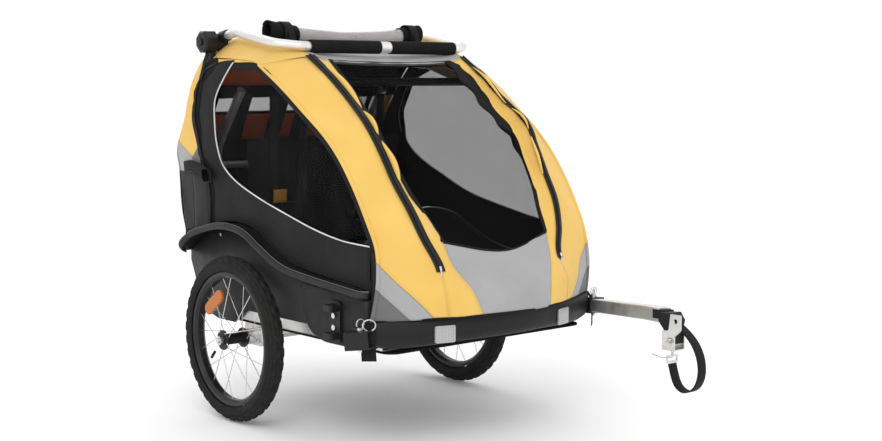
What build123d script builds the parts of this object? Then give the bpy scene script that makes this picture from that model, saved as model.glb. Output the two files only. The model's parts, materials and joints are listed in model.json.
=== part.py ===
from build123d import *
import os
from math import cos, hypot, pi, radians, sin, tan

# Two-seat child bicycle trailer.  Millimetres.  +Z is up, -Y is the way it travels and +X is
# its left.  Outlines give lengthwise places from the wheel axle, minus being ahead of it; the
# planes below shift them so that the origin is on the ground under the middle of the trailer.
AXLE_Y = 332.7

# Wheels
WHEEL_R = 200.0
WHEEL_X = 355.0
TYRE_W = 44.0
TYRE_H = 43.0
RIM_W = 30.0
RIM_IN_R = 147.0
RIM_OUT_R = 161.0
FLANGE_R = 24.0
FLANGE_X = 28.0
HUB_HALF = 32.0
SPOKES = 20
SPOKE_R = 1.0
SPOKE_STAGGER = 1.8
AXLE_R = 6.0
AXLE_END = 388.0

# Base frame
RAIL = 25.4
RAIL_WALL = 2.0
RAIL_X = 282.0
RAIL_Z = 247.0
RAIL_FRONT = -500.0
RAIL_REAR = 235.0
FLOOR_Z = 230.0
FLOOR_T = 4.0
AXLE_TUBE_R = 14.0

# Tub
WALL_X = 300.0
WALL_T = 3.5
LIP_X = 358.0
POD_X = 338.0
BUMPER_LOW = 236.0
BUMPER_TOP = 303.0
BUMPER_T = 5.0

# Folding frame
ROLL_X = 262.0
ROLL_R = 12.5
CAGE_PIVOT = (-480.0, 300.0)
UPRIGHT_X = 225.0
UPRIGHT_R = 11.0
REAR_PIVOT = (230.0, 360.0)
HUB = (130.0, 909.0)
HUB_R = 28.0
BAR_R = 11.0
BAR_X = 300.0

# Cover
COVER_X = 325.0
RIDGE_X = 250.0
CLOTH = 4.0
COVER_CORE = (-80.0, 600.0)

# Tow arm and hitch
ARM = 31.75
HITCH_X = 141.0
HITCH_Y = -943.0
STRAP_W = 25.0
STRAP_T = 2.4


def side(x):
    """A side-view plane: its x is the lengthwise place, its y is the height."""
    return Plane(origin=(x, AXLE_Y, 0), x_dir=(0, 1, 0), z_dir=(1, 0, 0))


def level(z):
    """A plan-view plane at a height."""
    return Plane(origin=(0, AXLE_Y, z))


def facing(y):
    """A front-view plane: its y is the height, its normal points ahead."""
    return Plane(origin=(0, AXLE_Y + y, 0), x_dir=(1, 0, 0), z_dir=(0, -1, 0))


def at(x, y, z):
    """A point whose lengthwise place is counted from the axle."""
    return Vector(x, AXLE_Y + y, z)


def save(builder, name):
    """Label a finished sub-part and write it under its node's name."""
    builder.part.label = name
    export_step(builder.part, f"parts/{name}.step")


def add_tube(points, radius, bend, wall=1.6):
    """A round tube along straight runs with bends, hollow unless wall is 0."""
    with BuildLine() as path:
        if len(points) > 2:
            FilletPolyline(*points, radius=bend)
        else:
            Line(*points)
    with BuildSketch(Plane(origin=path.line @ 0, z_dir=path.line % 0)) as profile:
        Circle(radius)
        if wall:
            Circle(radius - wall, mode=Mode.SUBTRACT)
    sweep(profile.sketch, path=path.line)


def sides():
    """Both sides of the trailer, as +1 for the left and -1 for the right."""
    return (1, -1)


os.makedirs("parts", exist_ok=True)

# ---------------------------------------------------------------- wheels
for tag, s in (("left", 1), ("right", -1)):
    wheel_plane = Plane(origin=at(s * WHEEL_X, 0, WHEEL_R), x_dir=(0, 1, 0), z_dir=(s, 0, 0))
    section_plane = Plane(origin=at(s * WHEEL_X, 0, WHEEL_R), x_dir=(s, 0, 0), z_dir=(0, -1, 0))
    wheel_axis = Axis(at(s * WHEEL_X, 0, WHEEL_R), (s, 0, 0))

    # The tyre is a hollow casing, open towards the rim, with two tread grooves.
    with BuildPart() as tyre:
        with BuildSketch(section_plane):
            with Locations((0, WHEEL_R - TYRE_H / 2)):
                Ellipse(TYRE_W / 2, TYRE_H / 2)
                Ellipse(TYRE_W / 2 - 4, TYRE_H / 2 - 4.5, mode=Mode.SUBTRACT)
            with Locations((0, RIM_OUT_R - 3)):
                Rectangle(18, 14, mode=Mode.SUBTRACT)
            with Locations((-6, WHEEL_R), (6, WHEEL_R)):
                Rectangle(2.4, 4, mode=Mode.SUBTRACT)
        revolve(axis=wheel_axis)
    save(tyre, f"tyre_{tag}")

    with BuildPart() as rim:
        with BuildSketch(section_plane):
            with BuildLine():
                Polyline((-8, RIM_IN_R), (8, RIM_IN_R), (RIM_W / 2, RIM_OUT_R - 8),
                         (RIM_W / 2, RIM_OUT_R), (RIM_W / 2 - 2, RIM_OUT_R),
                         (RIM_W / 2 - 3, RIM_OUT_R - 6), (5, RIM_IN_R + 4), (-5, RIM_IN_R + 4),
                         (3 - RIM_W / 2, RIM_OUT_R - 6), (2 - RIM_W / 2, RIM_OUT_R),
                         (-RIM_W / 2, RIM_OUT_R), (-RIM_W / 2, RIM_OUT_R - 8), close=True)
            make_face()
        revolve(axis=wheel_axis)
    save(rim, f"rim_{tag}")

    with BuildPart() as wheel_hub:
        with BuildSketch(section_plane):
            with BuildLine():
                Polyline((-HUB_HALF, AXLE_R + 0.05), (HUB_HALF, AXLE_R + 0.05), (HUB_HALF, 11),
                         (FLANGE_X + 1.5, 13), (FLANGE_X + 1.5, FLANGE_R), (FLANGE_X - 1.5, FLANGE_R),
                         (FLANGE_X - 1.5, 15), (FLANGE_X - 8, 13), (8 - FLANGE_X, 13),
                         (1.5 - FLANGE_X, 15), (1.5 - FLANGE_X, FLANGE_R),
                         (-1.5 - FLANGE_X, FLANGE_R), (-1.5 - FLANGE_X, 13), (-HUB_HALF, 11),
                         close=True)
            make_face()
        revolve(axis=wheel_axis)
    save(wheel_hub, f"wheel_hub_{tag}")

    # Crossed spokes: each leaves a flange and meets the rim a tenth of a turn further on.
    with BuildPart() as spokes:
        for i in range(SPOKES):
            flange_side = 1 if i % 2 else -1
            lean = 38 if (i // 2) % 2 else -38
            flange_x = flange_side * (FLANGE_X + (SPOKE_STAGGER if lean > 0 else -SPOKE_STAGGER))
            rim_angle = radians(360 / SPOKES * i)
            hub_angle = rim_angle + radians(lean)
            foot = wheel_plane.from_local_coords(
                Vector(20 * cos(hub_angle), 20 * sin(hub_angle), flange_x))
            head = wheel_plane.from_local_coords(
                Vector((RIM_IN_R + 2) * cos(rim_angle), (RIM_IN_R + 2) * sin(rim_angle),
                       flange_side * 3))
            with BuildSketch(Plane(origin=foot, z_dir=head - foot)):
                Circle(SPOKE_R)
            extrude(amount=(head - foot).length)
    save(spokes, f"spokes_{tag}")

    # The oval reflector clips between two spokes on the outer side.
    with BuildPart() as spoke_reflector:
        with BuildSketch(wheel_plane.offset(9)):
            with Locations(Location((62, s * 82), s * 143)):
                SlotOverall(90, 30)
        extrude(amount=7)
        fillet(spoke_reflector.faces().sort_by(Axis.X)[-1 if s > 0 else 0].edges(), 2)
    save(spoke_reflector, f"spoke_reflector_{tag}")

    # Quick-release axle: a stub that plugs into the receiver, with a pocket for its button.
    with BuildPart() as quick_axle:
        with BuildSketch(Plane(origin=at(s * 248, 0, WHEEL_R), z_dir=(s, 0, 0))):
            Circle(AXLE_R)
        extrude(amount=AXLE_END - 248)
        with BuildSketch(Plane(origin=at(s * AXLE_END, 0, WHEEL_R), z_dir=(s, 0, 0))):
            Circle(11)
        extrude(amount=8)
        with BuildSketch(Plane(origin=at(s * (AXLE_END + 8), 0, WHEEL_R), z_dir=(-s, 0, 0))):
            Circle(6.3)
        extrude(amount=7, mode=Mode.SUBTRACT)
    save(quick_axle, f"quick_axle_{tag}")

    with BuildPart() as axle_button:
        with BuildSketch(Plane(origin=at(s * (AXLE_END + 5), 0, WHEEL_R), z_dir=(s, 0, 0))):
            Circle(6)
        extrude(amount=7)
        fillet(axle_button.faces().sort_by(Axis.X)[-1 if s > 0 else 0].edges(), 1.2)
    save(axle_button, f"axle_button_{tag}")

# ---------------------------------------------------------------- base frame
with BuildPart() as side_rails:
    for s in sides():
        with BuildSketch(facing(RAIL_REAR)):
            with Locations((s * RAIL_X, RAIL_Z)):
                Rectangle(RAIL, RAIL)
                Rectangle(RAIL - 2 * RAIL_WALL, RAIL - 2 * RAIL_WALL, mode=Mode.SUBTRACT)
        extrude(amount=RAIL_REAR - RAIL_FRONT)
save(side_rails, "side_rails")

with BuildPart() as cross_tubes:
    for y in (RAIL_FRONT + RAIL / 2, RAIL_REAR - RAIL / 2):
        with BuildSketch(side(RAIL / 2 - RAIL_X)):
            with Locations((y, RAIL_Z)):
                Rectangle(RAIL, RAIL)
                Rectangle(RAIL - 2 * RAIL_WALL, RAIL - 2 * RAIL_WALL, mode=Mode.SUBTRACT)
        extrude(amount=2 * RAIL_X - RAIL)
save(cross_tubes, "cross_tubes")

with BuildPart() as axle_tube:
    with BuildSketch(side(-290)):
        with Locations((0, WHEEL_R)):
            Circle(AXLE_TUBE_R)
            Circle(AXLE_TUBE_R - 2, mode=Mode.SUBTRACT)
    extrude(amount=580)
save(axle_tube, "axle_tube")

# Each receiver clamps the axle tube, meets the floor and carries the axle's socket.
with BuildPart() as axle_receivers:
    for s in sides():
        with BuildSketch(side(s * 262)):
            with Locations((0, 204)):
                RectangleRounded(72, 52, 6)
            with Locations((0, WHEEL_R)):
                Circle(AXLE_TUBE_R, mode=Mode.SUBTRACT)
        extrude(amount=s * 28)
        with BuildSketch(side(s * 290)):
            with Locations((0, 204)):
                RectangleRounded(72, 52, 6)
            with Locations((0, WHEEL_R)):
                Circle(AXLE_R + 0.05, mode=Mode.SUBTRACT)
        extrude(amount=s * 8)
        with BuildSketch(side(s * 298)):
            with Locations((0, WHEEL_R)):
                Circle(19)
                Circle(AXLE_R + 0.05, mode=Mode.SUBTRACT)
        extrude(amount=s * 22)
save(axle_receivers, "axle_receivers")

with BuildPart() as floor_panel:
    with BuildSketch(level(FLOOR_Z)):
        with Locations((0, -137)):
            RectangleRounded(2 * WALL_X - 4, 784, 30)
    extrude(amount=FLOOR_T)
save(floor_panel, "floor_panel")

# ---------------------------------------------------------------- tub
LIP = [(274, 390), (224, 428), (164, 451), (60, 471), (-35, 464), (-112, 430), (-193, 397),
       (-290, 382), (-500, 365)]


def lip_line(drop=0.0):
    """The tub's upper edge, which arches over the wheel."""
    return Spline(*[(y, z - drop) for y, z in LIP])


POD = [(-500, 239), (-342, 237), (-294, 252), (-270, 277), (-258, 303), (-262, 366), (-500, 352)]

for tag, s in (("left", 1), ("right", -1)):
    with BuildPart() as side_fairing:
        with BuildSketch(side(s * WALL_X)):
            with BuildLine():
                lip_line()
                Polyline((-500, 365), (-500, 262), (20, 262), (72, 226), (146, 226))
                ThreePointArc((146, 226), (215, 250), (252, 315))
                Polyline((252, 315), (274, 362), (274, 390))
            make_face()
        extrude(amount=s * WALL_T)
        # The lip is a shelf that stands out over the wheel, with a rolled outer edge.
        for start, width, depth in ((WALL_X + WALL_T, LIP_X - WALL_X - WALL_T - 4, 5), (LIP_X - 4, 4, 13)):
            with BuildSketch(side(s * start)):
                with BuildLine():
                    lip_line()
                    lip_line(depth)
                    Line((274, 390), (274, 390 - depth))
                    Line((-500, 365), (-500, 365 - depth))
                make_face()
            extrude(amount=s * width)
        # The pod ahead of the wheel is hollow and open towards the cabin.
        with BuildSketch(side(s * WALL_X)):
            with BuildLine():
                Polyline(*POD, close=True)
            make_face()
        extrude(amount=s * (POD_X - WALL_X))
        with BuildSketch(side(s * (WALL_X - 1))):
            with BuildLine():
                Polyline(*POD, close=True)
            make_face()
            offset(amount=-WALL_T, mode=Mode.REPLACE)
        extrude(amount=s * (POD_X - WALL_X + 1 - WALL_T), mode=Mode.SUBTRACT)
    save(side_fairing, f"side_fairing_{tag}")


def bumper_plan(grow):
    """The bumper's outer line in plan: straight sides, round corners and a bowed front."""
    x = POD_X - 1 + grow
    Line((x, -500.5), (x, -503))
    ThreePointArc((x, -503), (x - 12, -521 - grow / 2), (293, -535 - grow))
    ThreePointArc((293, -535 - grow), (0, -600 - grow), (-293, -535 - grow))
    ThreePointArc((-293, -535 - grow), (12 - x, -521 - grow / 2), (-x, -503))
    Line((-x, -503), (-x, -500.5))
    Line((-x, -500.5), (x, -500.5))


with BuildPart() as front_bumper:
    with BuildSketch(level(BUMPER_LOW)):
        with BuildLine():
            bumper_plan(0)
        make_face()
        with BuildLine():
            bumper_plan(-BUMPER_T)
        make_face(mode=Mode.SUBTRACT)
        with Locations((0, -503)):
            Rectangle(2 * POD_X - 4 * BUMPER_T, 12, mode=Mode.SUBTRACT)
    extrude(amount=BUMPER_TOP - BUMPER_LOW)
    with BuildSketch(facing(-490)):
        with BuildLine():
            ThreePointArc((-400, 220), (0, 247), (400, 220))
            Line((400, 220), (-400, 220))
        make_face()
    extrude(amount=120, mode=Mode.SUBTRACT)
save(front_bumper, "front_bumper")

with BuildPart() as bumper_reflectors:
    with BuildSketch(level(250)):
        with BuildLine():
            bumper_plan(4)
        make_face()
        with BuildLine():
            bumper_plan(0.2)
        make_face(mode=Mode.SUBTRACT)
    extrude(amount=40)
    with BuildSketch(facing(-500)):
        with Locations((182, 270), (-182, 270)):
            RectangleRounded(46, 38, 4)
    extrude(amount=140, mode=Mode.INTERSECT)
save(bumper_reflectors, "bumper_reflectors")

# Rear wall of the tub, below the cover's back.
with BuildPart() as cargo_panel:
    with BuildSketch(facing(262)):
        with Locations((0, 312)):
            RectangleRounded(2 * WALL_X - 6, 148, 12)
    extrude(amount=-3)
save(cargo_panel, "cargo_panel")

# ---------------------------------------------------------------- side receivers and pins
# A receiver is a plate with two ears; an arm's vertical pin drops through both ears.
RECEIVER_Y = -394.0
with BuildPart() as arm_receivers:
    for s in sides():
        with BuildSketch(side(s * POD_X)):
            with Locations((RECEIVER_Y, 292)):
                RectangleRounded(40, 92, 8)
        extrude(amount=s * 6)
        for z in (254, 316):
            with BuildSketch(level(z)):
                with Locations((s * (POD_X + 14), RECEIVER_Y)):
                    RectangleRounded(28, 30, 6)
                with Locations((s * (POD_X + 18), RECEIVER_Y)):
                    Circle(4.1, mode=Mode.SUBTRACT)
            extrude(amount=14)
save(arm_receivers, "arm_receivers")

with BuildPart() as receiver_bolts:
    for s in sides():
        for z in (279, 305):
            with BuildSketch(side(s * (POD_X + 6))):
                with Locations((RECEIVER_Y, z)):
                    Circle(6)
            extrude(amount=s * 4)
save(receiver_bolts, "receiver_bolts")

# A square socket on each front corner; the left one holds the tow arm.
ARM_DIR = Vector(-0.4676, -0.8766, 0.1140).normalized()
SOCKET = at(370, -488, 266)


def arm_plane(s, along):
    """A plane across the tow arm's line on side s, along millimetres down the line."""
    place = SOCKET + ARM_DIR * along
    return Plane(origin=(s * place.X, place.Y, place.Z), x_dir=(0, 0, 1),
                 z_dir=(s * ARM_DIR.X, ARM_DIR.Y, ARM_DIR.Z))


PIN_ALONG = 22.0
with BuildPart() as tow_sockets:
    for s in sides():
        with BuildSketch(arm_plane(s, -8)):
            Rectangle(ARM + 6.6, ARM + 6.6)
            Rectangle(ARM + 0.6, ARM + 0.6, mode=Mode.SUBTRACT)
        extrude(amount=56)
        with BuildSketch(side(s * POD_X)):
            with Locations((-488, 270)):
                RectangleRounded(52, 38, 6)
        extrude(amount=s * 11)
        with BuildSketch(arm_plane(s, -8)):
            Rectangle(ARM + 0.6, ARM + 0.6)
        extrude(amount=90, mode=Mode.SUBTRACT)
        with BuildSketch(Plane(origin=arm_plane(s, PIN_ALONG).origin + Vector(0, 0, -40))):
            Circle(4.1)
        extrude(amount=80, mode=Mode.SUBTRACT)
save(tow_sockets, "tow_sockets")

for tag, s in (("left", 1), ("right", -1)):
    pin_foot = arm_plane(s, PIN_ALONG).origin
    with BuildPart() as socket_pin:
        with BuildSketch(Plane(origin=pin_foot + Vector(0, 0, -26))):
            Circle(3.9)
        extrude(amount=47)
        with BuildSketch(Plane(origin=pin_foot + Vector(0, 0, 21))):
            Circle(7)
        extrude(amount=5)
        # Pull ring through the pin's head
        with BuildSketch(Plane(origin=pin_foot + Vector(0, 0, 35))):
            with Locations((10, 0)):
                Circle(1.2)
        revolve(axis=Axis(pin_foot + Vector(0, 0, 35), (0, 1, 0)))
    save(socket_pin, f"socket_pin_{tag}")

# Webbing tabs that hang beside the sockets
with BuildPart() as strap_tabs:
    for s in sides():
        with BuildSketch(side(s * (POD_X + 0.5))):
            with Locations((-448, 262)):
                Rectangle(26, 96)
        extrude(amount=s * 2.5)
save(strap_tabs, "strap_tabs")

# ---------------------------------------------------------------- folding frame
with BuildPart() as cage_brackets:
    for s in sides():
        with BuildSketch(side(s * 276.5)):
            with Locations((CAGE_PIVOT[0], 289)):
                RectangleRounded(44, 58, 8)
        extrude(amount=s * 14)
        with BuildSketch(side(s * 276.5)):
            with Locations(CAGE_PIVOT):
                Circle(5)
        extrude(amount=-s * 28)
save(cage_brackets, "cage_brackets")

ROLL_LINE = [CAGE_PIVOT, (-500, 420), (-400, 650), (-230, 788), (0, 858), (117, 866)]
with BuildPart() as roll_tubes:
    for s in sides():
        add_tube([at(s * ROLL_X, y, z) for y, z in ROLL_LINE], ROLL_R, 170)
        with BuildSketch(side(s * (ROLL_X - ROLL_R + 1))):
            with Locations(CAGE_PIVOT):
                Circle(15)
        extrude(amount=s * 2 * (ROLL_R - 1))
        with BuildSketch(side(s * (ROLL_X - ROLL_R - 2))):
            with Locations(CAGE_PIVOT):
                Circle(5.06)
        extrude(amount=s * (2 * ROLL_R + 4), mode=Mode.SUBTRACT)
save(roll_tubes, "roll_tubes")

with BuildPart() as cage_cross_tubes:
    for y, z in ((104, 865), (-150, 812.5)):
        add_tube([at(ROLL_R - ROLL_X - 0.5, y, z), at(ROLL_X - ROLL_R + 0.5, y, z)], 10, 0)
save(cage_cross_tubes, "cage_cross_tubes")

for tag, s in (("left", 1), ("right", -1)):
    # Eight-sided hub housing with the pivot stud, carried by a foot on the roll tube.
    with BuildPart() as hub_housing:
        with BuildSketch(side(s * 318)):
            with Locations(HUB):
                RegularPolygon(HUB_R, 8, rotation=22.5)
        extrude(amount=s * 34)
        chamfer(hub_housing.faces().sort_by(Axis.X)[-1 if s > 0 else 0].edges(), 5)
        with BuildSketch(side(s * 318)):
            with Locations((HUB[0], 872)):
                Rectangle(26, 24)
        extrude(amount=s * 14)
        with BuildSketch(side(s * (ROLL_X - 8))):
            with Locations((HUB[0], 866)):
                Rectangle(24, 17)
        extrude(amount=s * (332 - ROLL_X + 8))
        with BuildSketch(side(s * 318)):
            with Locations(HUB):
                Circle(6)
        extrude(amount=-s * 32)
        with BuildSketch(side(s * 352)):
            with Locations(HUB):
                Circle(9.3)
        extrude(amount=-s * 9, mode=Mode.SUBTRACT)
    save(hub_housing, f"hub_housing_{tag}")

    with BuildPart() as hub_button:
        with BuildSketch(side(s * 349)):
            with Locations(HUB):
                Circle(9)
        extrude(amount=s * 7)
        fillet(hub_button.faces().sort_by(Axis.X)[-1 if s > 0 else 0].edges(), 1.5)
    save(hub_button, f"hub_button_{tag}")

with BuildPart() as rear_brackets:
    for s in sides():
        with BuildSketch(side(s * 238)):
            with BuildLine():
                Polyline((206, 240), (246, 240), (250, 362), (242, 376), (218, 376), (210, 362),
                         close=True)
            make_face()
        extrude(amount=s * 6)
        with BuildSketch(level(RAIL_Z + RAIL / 2)):
            with Locations((s * 262, 222)):
                Rectangle(54, 24)
        extrude(amount=5)
        with BuildSketch(side(s * 238)):
            with Locations(REAR_PIVOT):
                Circle(4)
        extrude(amount=-s * 26)
    with BuildSketch(level(200)):
        Rectangle(900, 900)
    extrude(amount=RAIL_Z + RAIL / 2 - 200, mode=Mode.SUBTRACT)
save(rear_brackets, "rear_brackets")

UPRIGHT_LINE = [REAR_PIVOT, (270, 640), (150, 792)]
with BuildPart() as rear_uprights:
    for s in sides():
        add_tube([at(s * UPRIGHT_X, y, z) for y, z in UPRIGHT_LINE], UPRIGHT_R, 70)
        with BuildSketch(side(s * (UPRIGHT_X - UPRIGHT_R + 1))):
            with Locations(REAR_PIVOT):
                Circle(13)
        extrude(amount=s * 2 * (UPRIGHT_R - 1))
        with BuildSketch(side(s * (UPRIGHT_X - UPRIGHT_R - 2))):
            with Locations(REAR_PIVOT):
                Circle(4.06)
        extrude(amount=s * (2 * UPRIGHT_R + 4), mode=Mode.SUBTRACT)
save(rear_uprights, "rear_uprights")

with BuildPart() as upright_cross_tube:
    add_tube([at(UPRIGHT_R - UPRIGHT_X - 0.5, 259, 600), at(UPRIGHT_X - UPRIGHT_R + 0.5, 259, 600)], 9, 0)
save(upright_cross_tube, "upright_cross_tube")

# ---------------------------------------------------------------- handlebar
GRIP = (-139.0, 896.0)
BAR_LINE = [(BAR_X, 112, 922), (BAR_X, 52, 931), (BAR_X - 6, -100, 903), (240, *GRIP)]
with BuildPart() as handlebar_tube:
    add_tube([at(*p) for p in BAR_LINE] + [at(-x, y, z) for x, y, z in reversed(BAR_LINE)], BAR_R, 36)
save(handlebar_tube, "handlebar_tube")

with BuildPart() as handlebar_knuckles:
    for s in sides():
        with BuildSketch(side(s * 287)):
            with Locations(HUB):
                Circle(21)
        extrude(amount=s * 29.5)
        with BuildSketch(Plane(origin=at(s * BAR_X, 116, 921.4), z_dir=(0, -60, 9))):
            Circle(14)
        extrude(amount=26)
        with BuildSketch(side(s * 270)):
            with Locations(HUB):
                Circle(6.06)
        extrude(amount=s * 60, mode=Mode.SUBTRACT)
save(handlebar_knuckles, "handlebar_knuckles")

with BuildPart() as foam_grips:
    for s in sides():
        with BuildSketch(side(s * 17)):
            with Locations(GRIP):
                Circle(16)
                Circle(BAR_R, mode=Mode.SUBTRACT)
        extrude(amount=s * 206)
        fillet(foam_grips.edges().filter_by(GeomType.CIRCLE).group_by(Axis.X)[-1 if s > 0 else 0]
               .sort_by(SortBy.LENGTH)[-1:], 2.5)
save(foam_grips, "foam_grips")

with BuildPart() as grip_clamp:
    with BuildSketch(side(-15)):
        with Locations(GRIP):
            Circle(14)
            Circle(BAR_R, mode=Mode.SUBTRACT)
    extrude(amount=30)
save(grip_clamp, "grip_clamp")

# ---------------------------------------------------------------- cover
# Side-view outlines of the cover at its side, over the roll tube and in the middle.
SIDE_FRONT = [(-500, 280), (-521, 396), (-508, 470), (-416, 617), (-262, 750), (-96, 853)]
SIDE_REAR = [(155, 866), (209, 805), (259, 722), (300, 640), (284, 560), (262, 366)]
RIDGE_FRONT = [(-550, 280), (-556, 400), (-532, 488), (-432, 658), (-311, 775), (-150, 858)]
RIDGE_REAR = [(162, 884), (222, 805), (272, 722), (310, 640), (296, 560), (266, 366)]
MIDDLE_FRONT = [(-620, 280), (-603, 388), (-560, 470), (-457, 600), (-334, 728), (-165, 846)]
MIDDLE_REAR = [(165, 880), (226, 805), (276, 722), (312, 640), (298, 560), (266, 366)]


def envelope(inset):
    """The cover's filled shape, with every outline point moved in by inset."""
    stations = [(-COVER_X + inset, SIDE_FRONT, SIDE_REAR, 872), (-RIDGE_X, RIDGE_FRONT, RIDGE_REAR, 902),
                (0, MIDDLE_FRONT, MIDDLE_REAR, 876), (RIDGE_X, RIDGE_FRONT, RIDGE_REAR, 902),
                (COVER_X - inset, SIDE_FRONT, SIDE_REAR, 872)]

    def pull(point):
        dy, dz = point[0] - COVER_CORE[0], point[1] - COVER_CORE[1]
        reach = 1 - inset / hypot(dy, dz)
        return (COVER_CORE[0] + dy * reach, COVER_CORE[1] + dz * reach)

    with BuildPart() as made:
        for x, front, rear, roof in stations:
            with BuildSketch(side(x)):
                with BuildLine():
                    Spline(*[pull(p) for p in front])
                    Spline(pull(front[-1]), pull((10, roof)), pull(rear[0]))
                    Spline(*[pull(p) for p in rear])
                    Line(pull(rear[-1]), pull(front[0]))
                make_face()
        loft()
    return made.part


def window_outline():
    """Side window: a long teardrop whose front edge follows the cover's corner."""
    Spline((-478, 480), (-380, 484), (-180, 527), (-60, 558), (40, 596), (96, 668), (96, 735),
           (50, 806), (0, 842))
    Spline((0, 842), (-90, 836), (-250, 742), (-400, 618), (-478, 480))


def front_outline():
    """Front opening in front view: wide at the top, drawn in towards a bowed lower edge."""
    for s in sides():
        Spline((s * 158, 462), (s * 190, 570), (s * 206, 686), (s * 200, 790), (s * 178, 838))
    Line((-178, 838), (178, 838))
    ThreePointArc((-158, 462), (0, 430), (158, 462))


full_shell = envelope(0) - envelope(CLOTH)

with BuildPart() as window_cutter:
    for x0 in (300, -300):
        with BuildSketch(side(x0)):
            with BuildLine():
                window_outline()
            make_face()
        extrude(amount=50 if x0 > 0 else -50)

with BuildPart() as front_cutter:
    with BuildSketch(facing(-120)):
        with BuildLine():
            front_outline()
        make_face()
    extrude(amount=560)

# Everything below the tub's lip and the bumper's top is open.
with BuildPart() as skirt_cutter:
    with BuildSketch(side(-400)):
        with BuildLine():
            lip_line(-4)
            Polyline((-500, 369), (-501, 306), (-700, 306), (-700, 200), (420, 200), (420, 394),
                     (274, 394))
        make_face()
    extrude(amount=800)
    for s in sides():
        with BuildSketch(side(s * 245)):
            with Locations((HUB[0], 880)):
                Rectangle(36, 60)
        extrude(amount=s * 120)

with BuildPart() as cabin_cover:
    add(full_shell)
    add(window_cutter.part, mode=Mode.SUBTRACT)
    add(front_cutter.part, mode=Mode.SUBTRACT)
    add(skirt_cutter.part, mode=Mode.SUBTRACT)
save(cabin_cover, "cabin_cover")

with BuildPart() as front_mesh:
    add(full_shell)
    add(front_cutter.part, mode=Mode.INTERSECT)
save(front_mesh, "front_mesh")

with BuildPart() as side_windows:
    add(full_shell)
    add(window_cutter.part, mode=Mode.INTERSECT)
save(side_windows, "side_windows")

# ---------------------------------------------------------------- seat and harness
with BuildPart() as seat_base:
    with BuildSketch(level(352)):
        with Locations((0, -2)):
            RectangleRounded(500, 236, 20)
    extrude(amount=18)
    fillet(seat_base.edges().group_by(Axis.Z)[-1], 5)
save(seat_base, "seat_base")

BACK_TILT = 3.6
back_plane = Plane(origin=at(0, 124, 384), x_dir=(1, 0, 0), z_dir=(0, -cos(radians(BACK_TILT)),
                                                                   -sin(radians(BACK_TILT))))
with BuildPart() as seat_back:
    with BuildSketch(back_plane):
        with Locations((0, 221)):
            RectangleRounded(486, 440, 20)
    extrude(amount=8)
save(seat_back, "seat_back")

SEAT_X = (-122, 122)
with BuildPart() as harness_straps:
    for seat in SEAT_X:
        for dx in (-48, 48):
            with BuildSketch(back_plane.offset(8.3)):
                with Locations((seat + dx, 235)):
                    Rectangle(25, 330)
            extrude(amount=2)
save(harness_straps, "harness_straps")

with BuildPart() as harness_buckles:
    for seat in SEAT_X:
        with BuildSketch(back_plane.offset(8.3)):
            with Locations((seat, 96)):
                RectangleRounded(52, 62, 10)
        extrude(amount=14)
save(harness_buckles, "harness_buckles")

# ---------------------------------------------------------------- rolled rain cover
ROLL_R_OUT = 27.0
ROLL_PLACE = (-8.0, 936.0)
with BuildPart() as rain_cover_roll:
    with BuildSketch(side(-258)):
        with Locations(ROLL_PLACE):
            Circle(ROLL_R_OUT)
    extrude(amount=492)
    fillet(rain_cover_roll.edges().filter_by(GeomType.CIRCLE), 5)
save(rain_cover_roll, "rain_cover_roll")

with BuildPart() as roll_bands:
    for x in (-222, 190):
        with BuildSketch(side(x)):
            with Locations(ROLL_PLACE):
                Circle(ROLL_R_OUT + 2.2)
                Circle(ROLL_R_OUT + 0.2, mode=Mode.SUBTRACT)
        extrude(amount=25)
save(roll_bands, "roll_bands")

# ---------------------------------------------------------------- tow arm and hitch
with BuildPart() as tow_arm:
    arm_start = arm_plane(1, -2).origin
    arm_knee = arm_plane(1, 415).origin
    arm_end = arm_knee + Vector(-14, -50, 2)
    with BuildLine() as arm_line:
        FilletPolyline(arm_start, arm_knee, arm_end, radius=60)
    with BuildSketch(arm_plane(1, -2)):
        RectangleRounded(ARM, ARM, 3)
        RectangleRounded(ARM - 4, ARM - 4, 2, mode=Mode.SUBTRACT)
    sweep(path=arm_line.line)
    with BuildSketch(Plane(origin=arm_plane(1, PIN_ALONG).origin + Vector(0, 0, -30))):
        Circle(4.1)
    extrude(amount=60, mode=Mode.SUBTRACT)
save(tow_arm, "tow_arm")

# Rubber flex connector: a cup over the arm's end that narrows to a tongue in the hitch.
with BuildPart() as flex_connector:
    with BuildSketch(side(HITCH_X - 14)):
        with BuildLine():
            Polyline((HITCH_Y + 30, 326), (HITCH_Y - 8, 330), (HITCH_Y - 20, 314), (HITCH_Y - 13, 286),
                     (HITCH_Y - 12, 262), (HITCH_Y + 12, 262), (HITCH_Y + 14, 290), (HITCH_Y + 30, 308),
                     close=True)
        make_face()
    extrude(amount=28)
    fillet(flex_connector.edges().filter_by(Axis.X), 4)
    with BuildSketch(Plane(origin=arm_end + Vector(4, 24, -1), z_dir=(-14, -50, 2))):
        RectangleRounded(ARM - 5, ARM - 5, 2)
    extrude(amount=42)
    with BuildSketch(side(HITCH_X - 15)):
        with Locations((HITCH_Y, 270)):
            Circle(4.2)
    extrude(amount=30, mode=Mode.SUBTRACT)
save(flex_connector, "flex_connector")

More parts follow.
